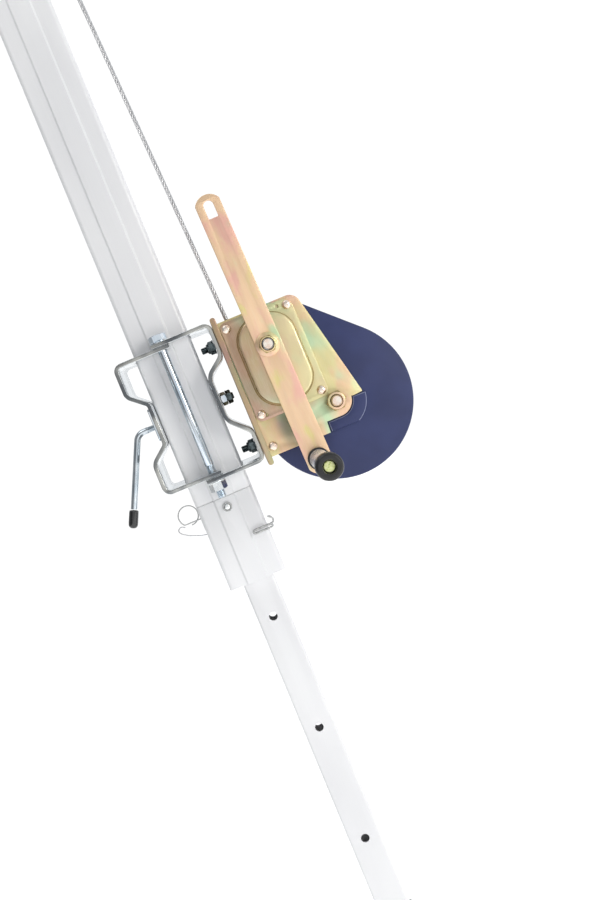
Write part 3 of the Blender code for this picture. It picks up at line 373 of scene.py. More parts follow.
def flat_plate(outlines, low, high, edge=0.0005, turn=None):
    """A plate across local Z with softened edges. The outlines after the first are holes."""
    curve = bpy.data.curves.new("outline", "CURVE")
    curve.dimensions = "2D"
    curve.fill_mode = "BOTH"
    curve.extrude = (high - low) / 2 - edge
    curve.bevel_depth = edge
    curve.bevel_resolution = 2
    curve.offset = -edge
    for outline in outlines:
        spline = curve.splines.new("POLY")
        spline.points.add(len(outline) - 1)
        for point, (x, y) in zip(spline.points, outline):
            point.co = (x, y, 0, 1)
        spline.use_cyclic_u = True
    return curve_shape(curve, (turn or Matrix()) @ Matrix.Translation((0, 0, (low + high) / 2)))


def evaluated(obj):
    """A plain mesh of an object as its modifiers leave it."""
    bpy.context.view_layer.update()
    return bpy.data.meshes.new_from_object(obj.evaluated_get(bpy.context.evaluated_depsgraph_get()))


def reshaped(mesh, turn=None):
    """The same as shape, from a mesh, which is dropped."""
    form = bmesh.new()
    form.from_mesh(mesh)
    bpy.data.meshes.remove(mesh)
    return shape(form, turn)


def curve_shape(curve, turn=None):
    """A closed mesh from a curve, which is dropped."""
    holder = linked("holder", curve)
    mesh = evaluated(holder)
    bpy.data.objects.remove(holder, do_unlink=True)
    bpy.data.curves.remove(curve)
    return reshaped(mesh, turn)


def around(radius, height, i, steps):
    """Point i of a level circle about local Z."""
    angle = 2 * math.pi * i / steps
    return radius * math.cos(angle), radius * math.sin(angle), height


def turned(profile, turn=None, steps=48):
    """A turned solid about local Z, from (radius, height) pairs. One that starts off the axis is a ring."""
    form = bmesh.new()
    rows = []
    for radius, height in profile:
        count = steps if radius > 1e-7 else 1
        rows.append([form.verts.new(around(radius, height, i, steps)) for i in range(count)])
    pairs = list(zip(rows, rows[1:]))
    if len(rows[0]) > 1:
        pairs.append((rows[-1], rows[0]))
    for upper, lower in pairs:
        for i in range(steps):
            j = (i + 1) % steps
            corners = [row[k % len(row)] for row, k in ((upper, i), (upper, j), (lower, j), (lower, i))]
            form.faces.new(list(dict.fromkeys(corners)))
    return shape(form, turn)


def facing(way, x=0.0, z=0.0, forward=0.0):
    """Local Z turned to face a way, at a place given in X, height and forward distance."""
    turns = {"up": Matrix(), "down": Matrix.Rotation(math.pi, 4, "X"),
             "front": Matrix.Rotation(math.pi / 2, 4, "X"), "back": Matrix.Rotation(-math.pi / 2, 4, "X"),
             "right": Matrix.Rotation(math.pi / 2, 4, "Y"), "left": Matrix.Rotation(-math.pi / 2, 4, "Y")}
    return Matrix.Translation((x, -forward, CLAMP_Z + z)) @ turns[way]


def cut(mesh, *tools, operation="DIFFERENCE"):
    """The mesh after each tool is taken away from it, or joined to it."""
    made = [linked("holder", part) for part in (mesh, *tools)]
    for tool in made[1:]:
        modifier = made[0].modifiers.new("cut", "BOOLEAN")
        modifier.operation = operation
        modifier.object = tool
    done = evaluated(made[0])
    for obj in made:
        bpy.data.objects.remove(obj, do_unlink=True)
    return reshaped(done)


def rounded(width, height, corner, centre=(0, 0), steps=5):
    """A rectangle with rounded corners."""
    x, y = width / 2, height / 2
    return fillet([(centre[0] + sx * x, centre[1] + sy * y)
                   for sx, sy in ((-1, -1), (1, -1), (1, 1), (-1, 1))], corner, steps)


def bore(radius, low, high, turn, steps=32):
    """A plain cylinder to cut with."""
    return turned([(0, high), (radius, high), (radius, low), (0, low)], turn, steps)


PIN_Z, PIN_HOLE, HOLE_PITCH, HOLE_COUNT = -0.1073, 0.0047, 0.130, 4
leg_way = rounded(0.0358, 0.0258, 0.0034)
collar = flat_plate([rail_section(), leg_way], -0.193, -0.0965, 0.0005, facing("up"))
spigot = flat_plate([rounded(0.0574, 0.0394, 0.002), leg_way], -0.0980, -0.0662, 0.0004, facing("up"))
collar = cut(collar, spigot, operation="UNION")
collar = cut(collar, bore(PIN_HOLE, -0.05, 0.05, facing("front", 0, PIN_Z)))
add_piece("collar", collar, aluminium, "leg", ["guide_collar"])


# ---------------------------------------------------------------- inner leg and its foot
# Thin-walled aluminium tube that slides in the collar, with a row of through
# holes for the locking pin, and a moulded rubber foot pushed over its end.

leg_tube = flat_plate([rounded(0.035, 0.025, 0.003), rounded(0.031, 0.021, 0.0012)], -0.6247, -0.060, 0.0003,
                      facing("up"))
leg_tube = cut(leg_tube, *[bore(PIN_HOLE, -0.03, 0.03, facing("front", 0, PIN_Z - HOLE_PITCH * i))
                           for i in range(HOLE_COUNT)])
add_piece("leg_tube", leg_tube, aluminium, "leg", ["inner_leg"])

rubber = Shader("rubber", base_color=(0.018, 0.018, 0.019), specular_ior_level=0.35)
speck = rubber.noise((1500, 1500, 1500), 3.0)
dust = rubber.noise((60, 60, 60), 2.0)
rubber.set("Base Color", rubber.mix(dust.ramp(0.45, 0.75), (0.015, 0.015, 0.016), (0.045, 0.044, 0.042)))
rubber.set("Roughness", speck.ramp(0.3, 0.7, 0.6, 0.85))
rubber.bump(speck, 0.00012)

foot_rings = []
for width, corner, height in (
        (0.0460, 0.0060, -0.6400), (0.0492, 0.0076, -0.6396), (0.0500, 0.0080, -0.6385),
        (0.0500, 0.0080, -0.6345), (0.0478, 0.0070, -0.6325), (0.0478, 0.0070, -0.6305),
        (0.0488, 0.0070, -0.6290), (0.0470, 0.0060, -0.6265), (0.0430, 0.0052, -0.5920),
        (0.0420, 0.0050, -0.5904), (0.0405, 0.0042, -0.5900), (0.0356, 0.0033, -0.5900),
        (0.0356, 0.0033, -0.6250)):
    foot_rings.append([(x, y, CLAMP_Z + height) for x, y in rounded(width, width - 0.010, corner)])
foot = loft(foot_rings)
grooves = [loft([[(x, y, CLAMP_Z + height) for x, y in rounded(0.060, 0.0022, 0.0008, (0, 0.0062 * k))]
                 for height in (-0.650, -0.6380)]) for k in range(-2, 3)]
add_piece("foot", cut(foot, *grooves), rubber, "leg", ["rubber_foot"])


# ---------------------------------------------------------------- locking pin
# Spring pin of bright zinc-plated steel through the collar and the topmost
# hole, held in a dark bushing ring. Its back end is rounded.

zinc = Shader("bright_zinc", metallic=1.0)
mottle = zinc.noise((60, 60, 60), 2.0)
scratch = zinc.noise((900, 900, 160), 2.0, 0.7)
zinc.set("Base Color", zinc.mix(mottle.ramp(0.3, 0.7), (0.70, 0.74, 0.77), (0.82, 0.83, 0.82)))
zinc.set("Roughness", mottle * 0.10 + scratch.ramp(0.35, 0.7, 0.10, 0.22))
zinc.bump(scratch, 0.00002)

dark_steel = mottled("dark_steel", (260, 260, 260), (0.065, 0.085, 0.090), (0.16, 0.20, 0.21), (0.22, 0.36),
                     (0.35, 0.65), 3.0, metallic=0.85)

pin_turn = facing("front", 0, PIN_Z)
pin_profile = fillet([(0, 0.0278), (0.0034, 0.0278), (0.0034, 0.0255), (0.0044, 0.0253), (0.0044, -0.0262),
                      (0.0034, -0.0278), (0, -0.0278)], [0, 0.0012, 0, 0, 0.0006, 0.0006, 0], 3, False)
add_piece("pin", turned(pin_profile, pin_turn, 32), zinc, "pin", ["locking_pin"])
bush = fillet([(0.0052, 0.0276), (0.0052, 0.0254), (0.0038, 0.0254), (0.0037, 0.0276)],
              [0.0006, 0.0002, 0.0002, 0.0004], 3)
pale_wire = mottled("pale_wire", (500, 500, 500), (0.36, 0.37, 0.37), (0.54, 0.54, 0.53), (0.2, 0.35),
                    metallic=0.5)
add_piece("pin_bush", turned(bush, pin_turn, 32), pale_wire, "pin")


# ---------------------------------------------------------------- pin ring, lanyard and wire clip
# A split ring of spring wire and a thin lanyard hang at the collar's left side.
# At its right a bent wire clip lies across the front face.

def wire(points, radius, closed=False, sides=3):
    """A round wire along points, its ends closed."""
    curve = bpy.data.curves.new("wire", "CURVE")
    curve.dimensions = "3D"
    curve.bevel_depth = radius
    curve.bevel_resolution = sides
    curve.use_fill_caps = True
    spline = curve.splines.new("POLY")
    spline.points.add(len(points) - 1)
    for point, place in zip(spline.points, points):
        point.co = (*place, 1)
    spline.use_cyclic_u = closed
    return curve_shape(curve)


def smooth_route(points, steps):
    """Points on a smooth curve through the route's own points."""
    ends = [points[0], *points, points[-1]]
    route = []
    for a, b, c, d in zip(ends, ends[1:], ends[2:], ends[3:]):
        a, b, c, d = Vector(a), Vector(b), Vector(c), Vector(d)
        for i in range(steps):
            t = i / steps
            route.append((b * 2 + (c - a) * t + (a * 2 - b * 5 + c * 4 - d) * t * t
                          + (b * 3 - a - c * 3 + d) * t ** 3) / 2)
    route.append(Vector(points[-1]))
    return route


RING_RADIUS, RING_RISE, RING_STEPS = 0.0110, 0.0018, 48
ring_points = [(x, 0, CLAMP_Z - 0.1108) for x in (-0.0329, -0.040, -0.047)]
for i in range(RING_STEPS + 1):
    angle = math.radians(228 - 318 * i / RING_STEPS)
    ring_points.append((-0.0446 + RING_RADIUS * math.cos(angle), RING_RISE * i / RING_STEPS,
                        CLAMP_Z - 0.1026 + RING_RADIUS * math.sin(angle)))
add_piece("ring", wire(ring_points, 0.0007), pale_wire, "leg", ["pin_ring"])

lanyard_look = mottled("lanyard_wire", (2500, 2500, 2500), (0.42, 0.42, 0.44), (0.70, 0.70, 0.72),
                       (0.35, 0.55), detail=1.0, metallic=0.6)
lanyard_route = smooth_route([
    (-0.0330, 0.0000, CLAMP_Z - 0.1294), (-0.0420, -0.0020, CLAMP_Z - 0.1268),
    (-0.0500, -0.0030, CLAMP_Z - 0.1234), (-0.0578, -0.0026, CLAMP_Z - 0.1186),
    (-0.0604, -0.0016, CLAMP_Z - 0.1150), (-0.0592, 0.0000, CLAMP_Z - 0.1122),
    (-0.0560, 0.0020, CLAMP_Z - 0.1116), (-0.0528, 0.0030, CLAMP_Z - 0.1136)], 6)
lanyard = add_piece("lanyard", wire(lanyard_route, 0.0006), lanyard_look, "leg", ["pin_lanyard"])

front, low, high = -0.028, CLAMP_Z - 0.1452, CLAMP_Z - 0.1414
clip = [(0.0355, front, high + 0.0085), (0.0385, front, high + 0.0070), (0.0405, front, high + 0.0040),
        (0.0395, front, high + 0.0008), (0.0360, front, high), (0.0180, front, high)]
clip += [(0.0175 + 0.0019 * math.cos(a), front, (low + high) / 2 + 0.0019 * math.sin(a))
         for a in (math.radians(110 + 20 * i) for i in range(8))]
clip += [(0.0180, front, low), (0.0335, front, low), (0.0362, front + 0.0015, low),
         (0.0372, front + 0.0050, low), (0.0372, -0.004, low), (0.0360, -0.001, low), (0.0329, 0, low)]
add_piece("clip", wire(clip, 0.0012), pale_wire, "leg", ["wire_clip"])


# ---------------------------------------------------------------- clamp halves
# Two halves of bent flat bar, bright zinc, that wrap the rail from both sides.
# Their ears lap above and below, notched round the rail and bored for bolts.

def ribbon(path, thickness):
    """Outline of a bent bar from its centreline."""
    left, right = [], []
    for i, point in enumerate(path):
        here = Vector(point)
        back = (here - Vector(path[i - 1])).normalized() if i else None
        ahead = (Vector(path[i + 1]) - here).normalized() if i < len(path) - 1 else None
        direction = ((back or ahead) + (ahead or back)).normalized()
        normal = Vector((-direction.y, direction.x))
        reach = thickness / 2 / max(0.2, normal.dot(Vector((-(ahead or back).y, (ahead or back).x))))
        left.append(tuple(here + normal * reach))
        right.append(tuple(here - normal * reach))
    return left + right[::-1]


def block(low, high, corner=0.001):
    """A box between two corners, its upright edges rounded."""
    middle = ((low[0] + high[0]) / 2, (low[1] + high[1]) / 2)
    outline = rounded(high[0] - low[0], high[1] - low[1], corner, middle, 3)
    return loft([[(x, y, z) for x, y in outline] for z in (low[2], high[2])])


STRAP, STRAP_WIDTH, STRAP_BEND = 0.0045, 0.098, 0.007
NOTCH_X, NOTCH_Y = 0.0328, 0.0258       # the rail's half width and depth, with clearance
CLAMP_BOLT_Y, SCREW_Z, WINCH_BOLT_Z = 0.0375, 0.0009, (0.0573, -0.0585)
HALF_CUT = 0.01                         # how far the cutters reach past an ear


def clamp_half(ear_x, wall_x, waist_x, top, bottom, bends, radii):
    """One bent half with its notches and bolt holes."""
    upper_out, upper_in, lower_in, lower_out = bends
    path = fillet([(ear_x, top), (wall_x, top), (wall_x, upper_out), (waist_x, upper_in), (waist_x, lower_in),
                   (wall_x, lower_out), (wall_x, bottom), (ear_x, bottom)],
                  [0, STRAP_BEND, *radii, STRAP_BEND, 0], 10, False)
    bar = flat_plate([ribbon(path, STRAP)], -STRAP_WIDTH / 2, STRAP_WIDTH / 2, 0.0007, facing("front"))
    rail_side, far = math.copysign(NOTCH_X, wall_x), math.copysign(0.030, ear_x)
    tools = []
    for z in (top, bottom):
        tools.append(block((min(rail_side, far), -NOTCH_Y, CLAMP_Z + z - HALF_CUT),
                           (max(rail_side, far), NOTCH_Y, CLAMP_Z + z + HALF_CUT), 0.0025))
        tools += [bore(0.0055, z - HALF_CUT, z + HALF_CUT, facing("up", 0, 0, side))
                  for side in (-CLAMP_BOLT_Y, CLAMP_BOLT_Y)]
    return cut(bar, *tools)


left_half = clamp_half(0.0095, -0.053, -0.0345, 0.0747, -0.0690, (0.0405, 0.0250, -0.0200, -0.0350),
                       (0.010, 0.007, 0.007, 0.012))
left_half = cut(left_half, bore(0.0059, -0.060, -0.020, facing("right", 0, SCREW_Z)))
right_half = clamp_half(-0.0095, 0.0556, 0.0349, 0.0796, -0.0739, (0.0440, 0.0280, -0.0215, -0.0420),
                        (0.010, 0.015, 0.015, 0.010))
right_half = cut(right_half, *[bore(0.0043, 0.020, 0.080, facing("right", 0, z))
                               for z in (*WINCH_BOLT_Z, SCREW_Z)])
sheared = mottled("sheared_zinc", (26, 26, 26), (0.13, 0.14, 0.15), (0.52, 0.52, 0.49), (0.14, 0.24),
                  (0.36, 0.64), centre=(0.3, 0, 0), metallic=1.0)
for name, half in (("left", left_half), ("right", right_half)):
    strap = add_piece(f"clamp_{name}", half, zinc, "bracket", [f"clamp_half_{name}"])
    face_look(strap, sheared, lambda face: abs(face.normal.y) > 0.9 and abs(face.center.y) > 0.045)


# ---------------------------------------------------------------- clamp bolts
# Two long M10 bolts, one in front of the rail and one behind, with washers
# under their flanged heads and flanged nuts below. Bright zinc with a blue cast.

def hexed(flats, low, high, turn=None, hole=0.0, both=False):
    """A hexagon head or nut with its corners turned down at one face or both."""
    steps, rim = 60, flats * 0.478
    turns = [2 * math.pi * i / steps for i in range(steps)]
    reach = [flats / 2 / math.cos((a % (math.pi / 3)) - math.pi / 6) for a in turns]

    def ring(radii, heights):
        return [(r * math.cos(a), r * math.sin(a), h) for r, h, a in zip(radii, heights, turns)]

    drop = [max(0.0, r - rim) * 0.62 for r in reach]
    rings = [ring([rim] * steps, [low] * steps), ring(reach, [low + d for d in drop])] if both else [
        ring(reach, [low] * steps)]
    rings += [ring(reach, [high - d for d in drop]), ring([rim] * steps, [high] * steps)]
    if hole:
        edge = hole + 0.0006
        rings += [ring([edge] * steps, [high] * steps), ring([hole] * steps, [high - 0.0006] * steps),
                  ring([hole] * steps, [low + 0.0003] * steps), ring([hole + 0.0003] * steps, [low] * steps)]
    return loft(rings, turn, loop=bool(hole))


def threaded(radius, start, low, high, pitch, turn=None, steps=28):
    """A plain shank from start to low, then a helical thread up to high with a chamfered end."""
    rings = [[around(radius, start, i, steps) for i in range(steps)]] if start < low else []
    count = max(4, int((high - low) / pitch * 4))
    for k in range(count + 1):
        height = low + (high - low) * k / count
        ring = []
        for i in range(steps):
            phase = (height / pitch - i / steps) % 1
            depth = 0.55 * pitch * abs(phase * 2 - 1) * min(1, (height - low) / pitch + 0.02)
            end = max(0.0, 1 - (high - height) / pitch) * pitch * 0.7
            ring.append(around(radius - max(depth, end), height, i, steps))
        rings.append(ring)
    return loft(rings, turn)


def joined(*meshes):
    """Several closed shells in one mesh."""
    form = bmesh.new()
    for mesh in meshes:
        form.from_mesh(mesh)
        bpy.data.meshes.remove(mesh)
    mesh = bpy.data.meshes.new("form")
    form.to_mesh(mesh)
    form.free()
    return mesh


def washer(outer, inner, low, high, turn=None):
    """A flat ring with softened edges."""
    edge = min(0.0004, (high - low) / 3)
    return turned(fillet([(outer, high), (outer, low), (inner, low), (inner, high)], edge, 2), turn, 40)


blue_zinc = mottled("blue_zinc", (120, 120, 25), (0.55, 0.64, 0.72), (0.76, 0.80, 0.84), (0.07, 0.13),
                    (0.3, 0.7), metallic=1.0)

TOP, BOTTOM = 0.08215, -0.07645         # faces of the ears under the head and the nut
for name, forward in (("front", CLAMP_BOLT_Y), ("rear", -CLAMP_BOLT_Y)):
    up, down = facing("up", 0, TOP, forward), facing("down", 0, BOTTOM, forward)
    bolt = joined(hexed(0.0165, 0.0014, 0.0084, up), turned(fillet(
        [(0, 0.0020), (0.0085, 0.0020), (0.0102, 0.0012), (0.0102, 0), (0, 0)],
        [0, 0.0004, 0.0004, 0.0003, 0], 2, False), up, 48),
        threaded(0.0049, -0.002, 0.140, 0.1770, 0.0015, facing("down", 0, TOP, forward)))
    add_piece(f"{name}_long_bolt", bolt, blue_zinc, "bracket", [f"{name}_clamp_bolt"])
    flange = fillet([(0.0102, 0.0010), (0.0102, 0), (0.0053, 0), (0.0053, 0.0020), (0.0085, 0.0020)],
                    0.0003, 2)
    nut = joined(hexed(0.0165, 0.0012, 0.0105, down, 0.0052), turned(flange, down, 48))
    add_piece(f"{name}_long_nut", nut, zinc, "bracket", [f"{name}_clamp_nut"])


# ---------------------------------------------------------------- clamp screw
# A bent steel rod threaded through a plate at the left waist. Its far end has a
# glossy black dipped cap, and a loose pad at its inner end presses the rail.

grey_zinc = mottled("grey_zinc", (60, 60, 60), (0.46, 0.52, 0.57), (0.66, 0.70, 0.73), (0.10, 0.18),
                    (0.3, 0.7), metallic=1.0)

screw_turn = facing("right", 0, SCREW_Z)
plate_turn = Matrix.Translation((0, 0, CLAMP_Z)) @ Matrix(
    ((0, 0, -1, 0), (-1, 0, 0, 0), (0, 1, 0, 0), (0, 0, 0, 1)))
plate = flat_plate([rounded(0.038, 0.0365, 0.003, (0, 0.00325))], 0.03705, 0.04085, 0.0006, plate_turn)
plate = cut(plate, bore(0.0040, -0.05, -0.03, screw_turn))
add_piece("waist_plate", plate, blue_zinc, "bracket", ["screw_plate"])

pad_profile = fillet([(0, -0.0323), (0.0055, -0.0323), (0.0055, -0.0345), (0, -0.0345)],
                     [0, 0.0004, 0.0006, 0], 2, False)
add_piece("pad", turned(pad_profile, screw_turn, 36), zinc, "pad", ["pressure_pad"])

BEND, TIP, ROD_RADIUS = Vector((-0.0615, SCREW_Z)), Vector((-0.1033, -0.0876)), 0.0036
ROD_SHORT, CAP_BACK = 0.016, 0.0145     # how far the rod and the cap's open end stop before the tip
FINE_PITCH = 0.00125
arm = TIP - BEND
path = fillet([(-0.0500, SCREW_Z), tuple(BEND), tuple(BEND + arm * (1 - ROD_SHORT / arm.length))],
              0.011, 14, False)
handle = wire([(x, 0, CLAMP_Z + z) for x, z in path], ROD_RADIUS, sides=5)
screw_thread = threaded(ROD_RADIUS, -0.0500, -0.0495, -0.0349, FINE_PITCH, screw_turn)
add_piece("screw", joined(handle, screw_thread), grey_zinc, "screw", ["clamp_screw"])

gloss_black = Shader("dipped_cap", base_color=(0.006, 0.006, 0.007), coat_weight=0.6, coat_roughness=0.08)
gloss_black.set("Roughness", gloss_black.noise((500, 500, 500), 2.0).ramp(0.3, 0.7, 0.16, 0.30))
lean = math.atan2(-arm.x, -arm.y)
cap_place = (TIP.x + CAP_BACK * math.sin(lean), 0, CLAMP_Z + TIP.y + CAP_BACK * math.cos(lean))
cap_turn = Matrix.Translation(cap_place) @ Matrix.Rotation(math.pi + lean, 4, "Y")
cap = [(0, 0.0196), (0.0026, 0.0193), (0.0042, 0.0182), (0.0051, 0.0162), (0.0053, 0.0130), (0.0052, 0.0020),
       (0.0050, 0.0004), (0.0046, 0), (0.0039, 0), (0.0039, 0.0140), (0, 0.0140)]
add_piece("cap", turned(cap, cap_turn, 40), gloss_black, "screw", ["screw_cap"])


# ---------------------------------------------------------------- waist stud and winch bolts
# A stud in the right waist with a bright nut and a dark locking nut, and two
# carriage bolts that hold the winch, with dark flanged locking nuts.

stud = threaded(0.0040, 0.0328, 0.0372, 0.0518, FINE_PITCH, screw_turn)
add_piece("stud", stud, dark_steel, "bracket", ["waist_stud"])
M8_FLATS, M8_HOLE = 0.013, 0.0043
stud_nut = hexed(M8_FLATS, 0.03745, 0.04365, screw_turn, M8_HOLE, True)
add_piece("stud_nut", stud_nut, blue_zinc, "bracket", ["waist_nut"])
lock = joined(hexed(M8_FLATS, 0.0448, 0.04975, screw_turn, M8_HOLE),
              washer(0.0080, 0.0044, 0.04395, 0.0452, screw_turn))
add_piece("stud_lock_nut", lock, dark_steel, "bracket", ["waist_lock_nut"])

WALL_FACE = 0.05305      # inner face of the right half's outer wall, where the nuts sit
for name, z in zip(("upper", "lower"), WINCH_BOLT_Z):
    right, left = facing("right", 0, z), facing("left", WALL_FACE, z)
    dome = fillet([(0, 0.0685), (0.0045, 0.0680), (0.0080, 0.0657), (0.0085, 0.0645), (0.0039, 0.0645),
                   (0.0039, 0.0600), (0, 0.0600)], [0, 0.003, 0.0008, 0.0003, 0, 0, 0], 3, False)
    shank = threaded(0.0039, -0.0640, -0.0530, -0.0376, FINE_PITCH, facing("left", 0, z))
    add_piece(f"{name}_carriage_bolt", joined(turned(dome, right, 40), shank), dark_steel, "bracket",
              [f"{name}_winch_bolt"])
    flange = fillet([(0.0080, 0.0011), (0.0081, 0), (0.0044, 0), (0.0044, 0.0015), (0.0066, 0.0017)],
                    0.0003, 2)
    crown = fillet([(0.0057, 0.0094), (0.0057, 0.0060), (0.0044, 0.0060), (0.0044, 0.0088)],
                   [0.0010, 0, 0, 0.0005], 3)
    nut = joined(hexed(M8_FLATS, 0.0010, 0.0068, left, M8_HOLE), turned(flange, left, 40),
                 turned(crown, left, 40))
    add_piece(f"{name}_lock_nut", nut, dark_steel, "bracket", [f"{name}_winch_nut"])


# ---------------------------------------------------------------- winch housing
# Folded and welded steel: a thick base plate against the clamp and a side plate
# front and back, in yellow chromate over zinc, whose film shows tan, pink and
# green patches.

def chromate_film(name, greenness, drift, shade_stretch=(-1.0, -0.9), shade_factor=1.0):
    """Chromate over zinc. drift moves the patches; a painted shade of mauve brown fades out over the shade
    stretch of X, and the last argument darkens the whole film, also painted shade.
    """
    look = Shader(name, metallic=0.62)
    broad = look.noise((22, 22, 16), 2.0, 0.5, drift)
    fine = look.noise((60, 60, 34), 3.0, 0.55, drift)
    other = look.noise((31, 31, 19), 2.0, 0.5, tuple(value + 0.31 for value in drift))
    film = broad * 0.7 + fine * 0.3
    colour = look.mix(film.ramp(0.36, 0.50), (0.78, 0.45, 0.38), (0.78, 0.54, 0.33))
    colour = look.mix(film.ramp(0.48, 0.60), colour, (0.72, 0.64, 0.32))
    colour = look.mix(other.ramp(0.46, 0.66) * greenness, colour, (0.54, 0.70, 0.44))
    across = look.node("ShaderNodeSeparateXYZ", {}, {"Vector": look.place()})
    # Painted shade: mauve brown on the low-X side, fading out over the stretch.
    colour = look.mix(across.ramp(*shade_stretch, 0.8, 0.0), colour, (0.46, 0.29, 0.21))
    hair = look.noise((1500, 1500, 120), 3.0, 0.6)
    colour = look.mix(hair.ramp(0.4, 0.8) * 0.2, colour, (0.84, 0.77, 0.66))
    # Painted shade: the last argument darkens the whole film towards black.
    look.set("Base Color", look.mix(shade_factor, (0, 0, 0), colour))
    look.set("Roughness", fine.ramp(0.3, 0.7, 0.26, 0.40) + hair * 0.06)
    look.bump(hair, 0.00002)
    return look, colour


def circle(radius, centre=(0, 0), steps=28):
    """Points round a circle."""
    return arc(centre, radius, 0, 2 * math.pi * (steps - 1) / steps, steps - 1)


AXLE = (0.1487, -0.0458)
GEAR_CENTRES, GEAR_LEAN = 0.0925, math.radians(28.96)
CRANK = (AXLE[0] - GEAR_CENTRES * math.sin(GEAR_LEAN), AXLE[1] + GEAR_CENTRES * math.cos(GEAR_LEAN))
RIVETS = ((0.0711, 0.0670), (0.1390, 0.0670), (0.1390, -0.0297), (0.0711, -0.0297))
LOWER_RIVET = (0.0698, -0.0648)
RIVET_HOLE, SHAFT_HOLE = 0.0027, 0.0063
PLATE_BACK, PLATE_FACE, COVER_FACE = 0.047, 0.050, 0.0523      # forward distances

green_film, colour = chromate_film("side_chromate", 1.0, (0.1, 0.7, 0.2))
# Painted shadow of the crank bar: a dark blue-green patch on the side plate, just left of the bar.
spot = green_film.place((80, 25, 36), (0.0915, -0.050, CLAMP_Z - 0.050))
reach = green_film.node("ShaderNodeVectorMath", {"operation": "LENGTH"}, {0: spot}, 1)
green_film.set("Base Color", green_film.mix(reach.ramp(0.2, 1.2, 0.7, 0.0), colour, (0.10, 0.19, 0.15)))
# The base plate's film is darkened to 0.62 as a painted shade.
tan_film, _ = chromate_film("base_chromate", 0.3, (0.9, 0.2, 0.5), shade_factor=0.62)
edge = fillet([(0.0600, 0.0763), (0.1516, 0.0763), (0.1784, -0.0456)], [0, 0.0125, 0], 10, False)
edge += [(0.1784, -0.0470), (0.1670, -0.0478)]
edge += arc(AXLE, 0.0170, 0, math.radians(-88), 20)[1:]
edge += [(0.1318, -0.0628), (0.1312, -0.0748), (0.0600, -0.0748)]
base = flat_plate([rounded(0.1661, 0.0060, 0.0026, steps=5)], -0.053, 0.053, 0.0009,
                  facing("front", 0.0612, 0.00075) @ Matrix.Rotation(math.pi / 2, 4, "Z"))
holes = [circle(0.0064, CRANK), circle(SHAFT_HOLE, AXLE)]
small = [circle(RIVET_HOLE, spot, 16) for spot in (*RIVETS, LOWER_RIVET)]
front_plate = flat_plate([edge, *holes, *small], PLATE_BACK, PLATE_FACE, 0.0005, facing("front"))
rear_plate = flat_plate([edge, *holes], -PLATE_FACE, -PLATE_BACK, 0.0005, facing("front"))
bolt_ways = [bore(M8_HOLE, 0.050, 0.070, facing("right", 0, z)) for z in WINCH_BOLT_Z]
base = cut(cut(base, front_plate, rear_plate, operation="UNION"), *bolt_ways)
housing = add_piece("housing", base, green_film, "bracket", ["winch_housing"])
face_look(housing, tan_film, lambda face: face.center.x < 0.0645)


# ---------------------------------------------------------------- gear cover
# Pressed sheet with one deep bulge over the brake, chromated and riveted at its
# four corners. Two small holes beside the rivets are empty.

def cover_bulge(shrink, base_height, top):
    """The bulge: a flared foot, drafted sides and a well rounded top edge."""
    rings = []
    for grow, height in (
            (0.0012, base_height), (0.0010, base_height + 0.0006), (0.0003, base_height + 0.0018),
            (0, base_height + 0.0034), (-0.0008, top - 0.0036), (-0.0011, top - 0.0022),
            (-0.0018, top - 0.0010), (-0.0027, top - 0.0003), (-0.0040, top)):
        step = grow - shrink
        rings.append([(x, y, height) for x, y in rounded(
            0.0635 + 2 * step, 0.0965 + 2 * step, 0.0262 + step, (0.1068, 0.0193), 12)])
    return loft(rings, facing("front"))


# The cover's left side gets the painted shade of mauve brown, gone by X 0.115.
cover_film, colour = chromate_film("cover_chromate", 0.9, (0.4, 0.1, 0.8), (0.066, 0.115))
across = cover_film.node("ShaderNodeSeparateXYZ", {}, {"Vector": cover_film.place()})
cover_film.set("Base Color", cover_film.mix(across.ramp(0.108, 0.128, 0.0, 0.65), colour, (0.68, 0.66, 0.36)))
lobes = fillet([(0.0648, 0.0742), (0.1452, 0.0742), (0.1462, -0.0369), (0.0648, -0.0369)],
               [0.0062, 0.0120, 0.0072, 0.0072], 8)
sheet = flat_plate([lobes, *[circle(RIVET_HOLE, spot, 16) for spot in RIVETS],
                    circle(0.0017, (0.1290, 0.0692), 14), circle(0.0019, (0.0760, -0.0318), 14)],
                   PLATE_FACE + GAP, COVER_FACE, 0.0005, facing("front"))
sheet = cut(sheet, cover_bulge(0, 0.0515, 0.0703), operation="UNION")
sheet = cut(sheet, cover_bulge(0.002, 0.0440, 0.0683),
            bore(0.0100, 0.060, 0.080, facing("front", *CRANK), 40))
cover = add_piece("cover", sheet, cover_film, "bracket", ["gear_cover"])
# Painted shade: a darker olive-brown film on the bulge's side walls.
painted_shade = mottled("painted_wall_shade", (60, 60, 40), (0.30, 0.20, 0.09), (0.44, 0.36, 0.14), (0.22, 0.34),
                metallic=0.75)
face_look(cover, painted_shade, lambda face: (
    -0.0690 < face.center.y < -0.0524 and abs(face.normal.y) < 0.8 and face.area < 0.0001))


# ---------------------------------------------------------------- rivets
# Five domed rivets, pinkish silver: four hold the gear cover and one fills the
# side plate's lower corner. Their shanks end flush inside the plate.

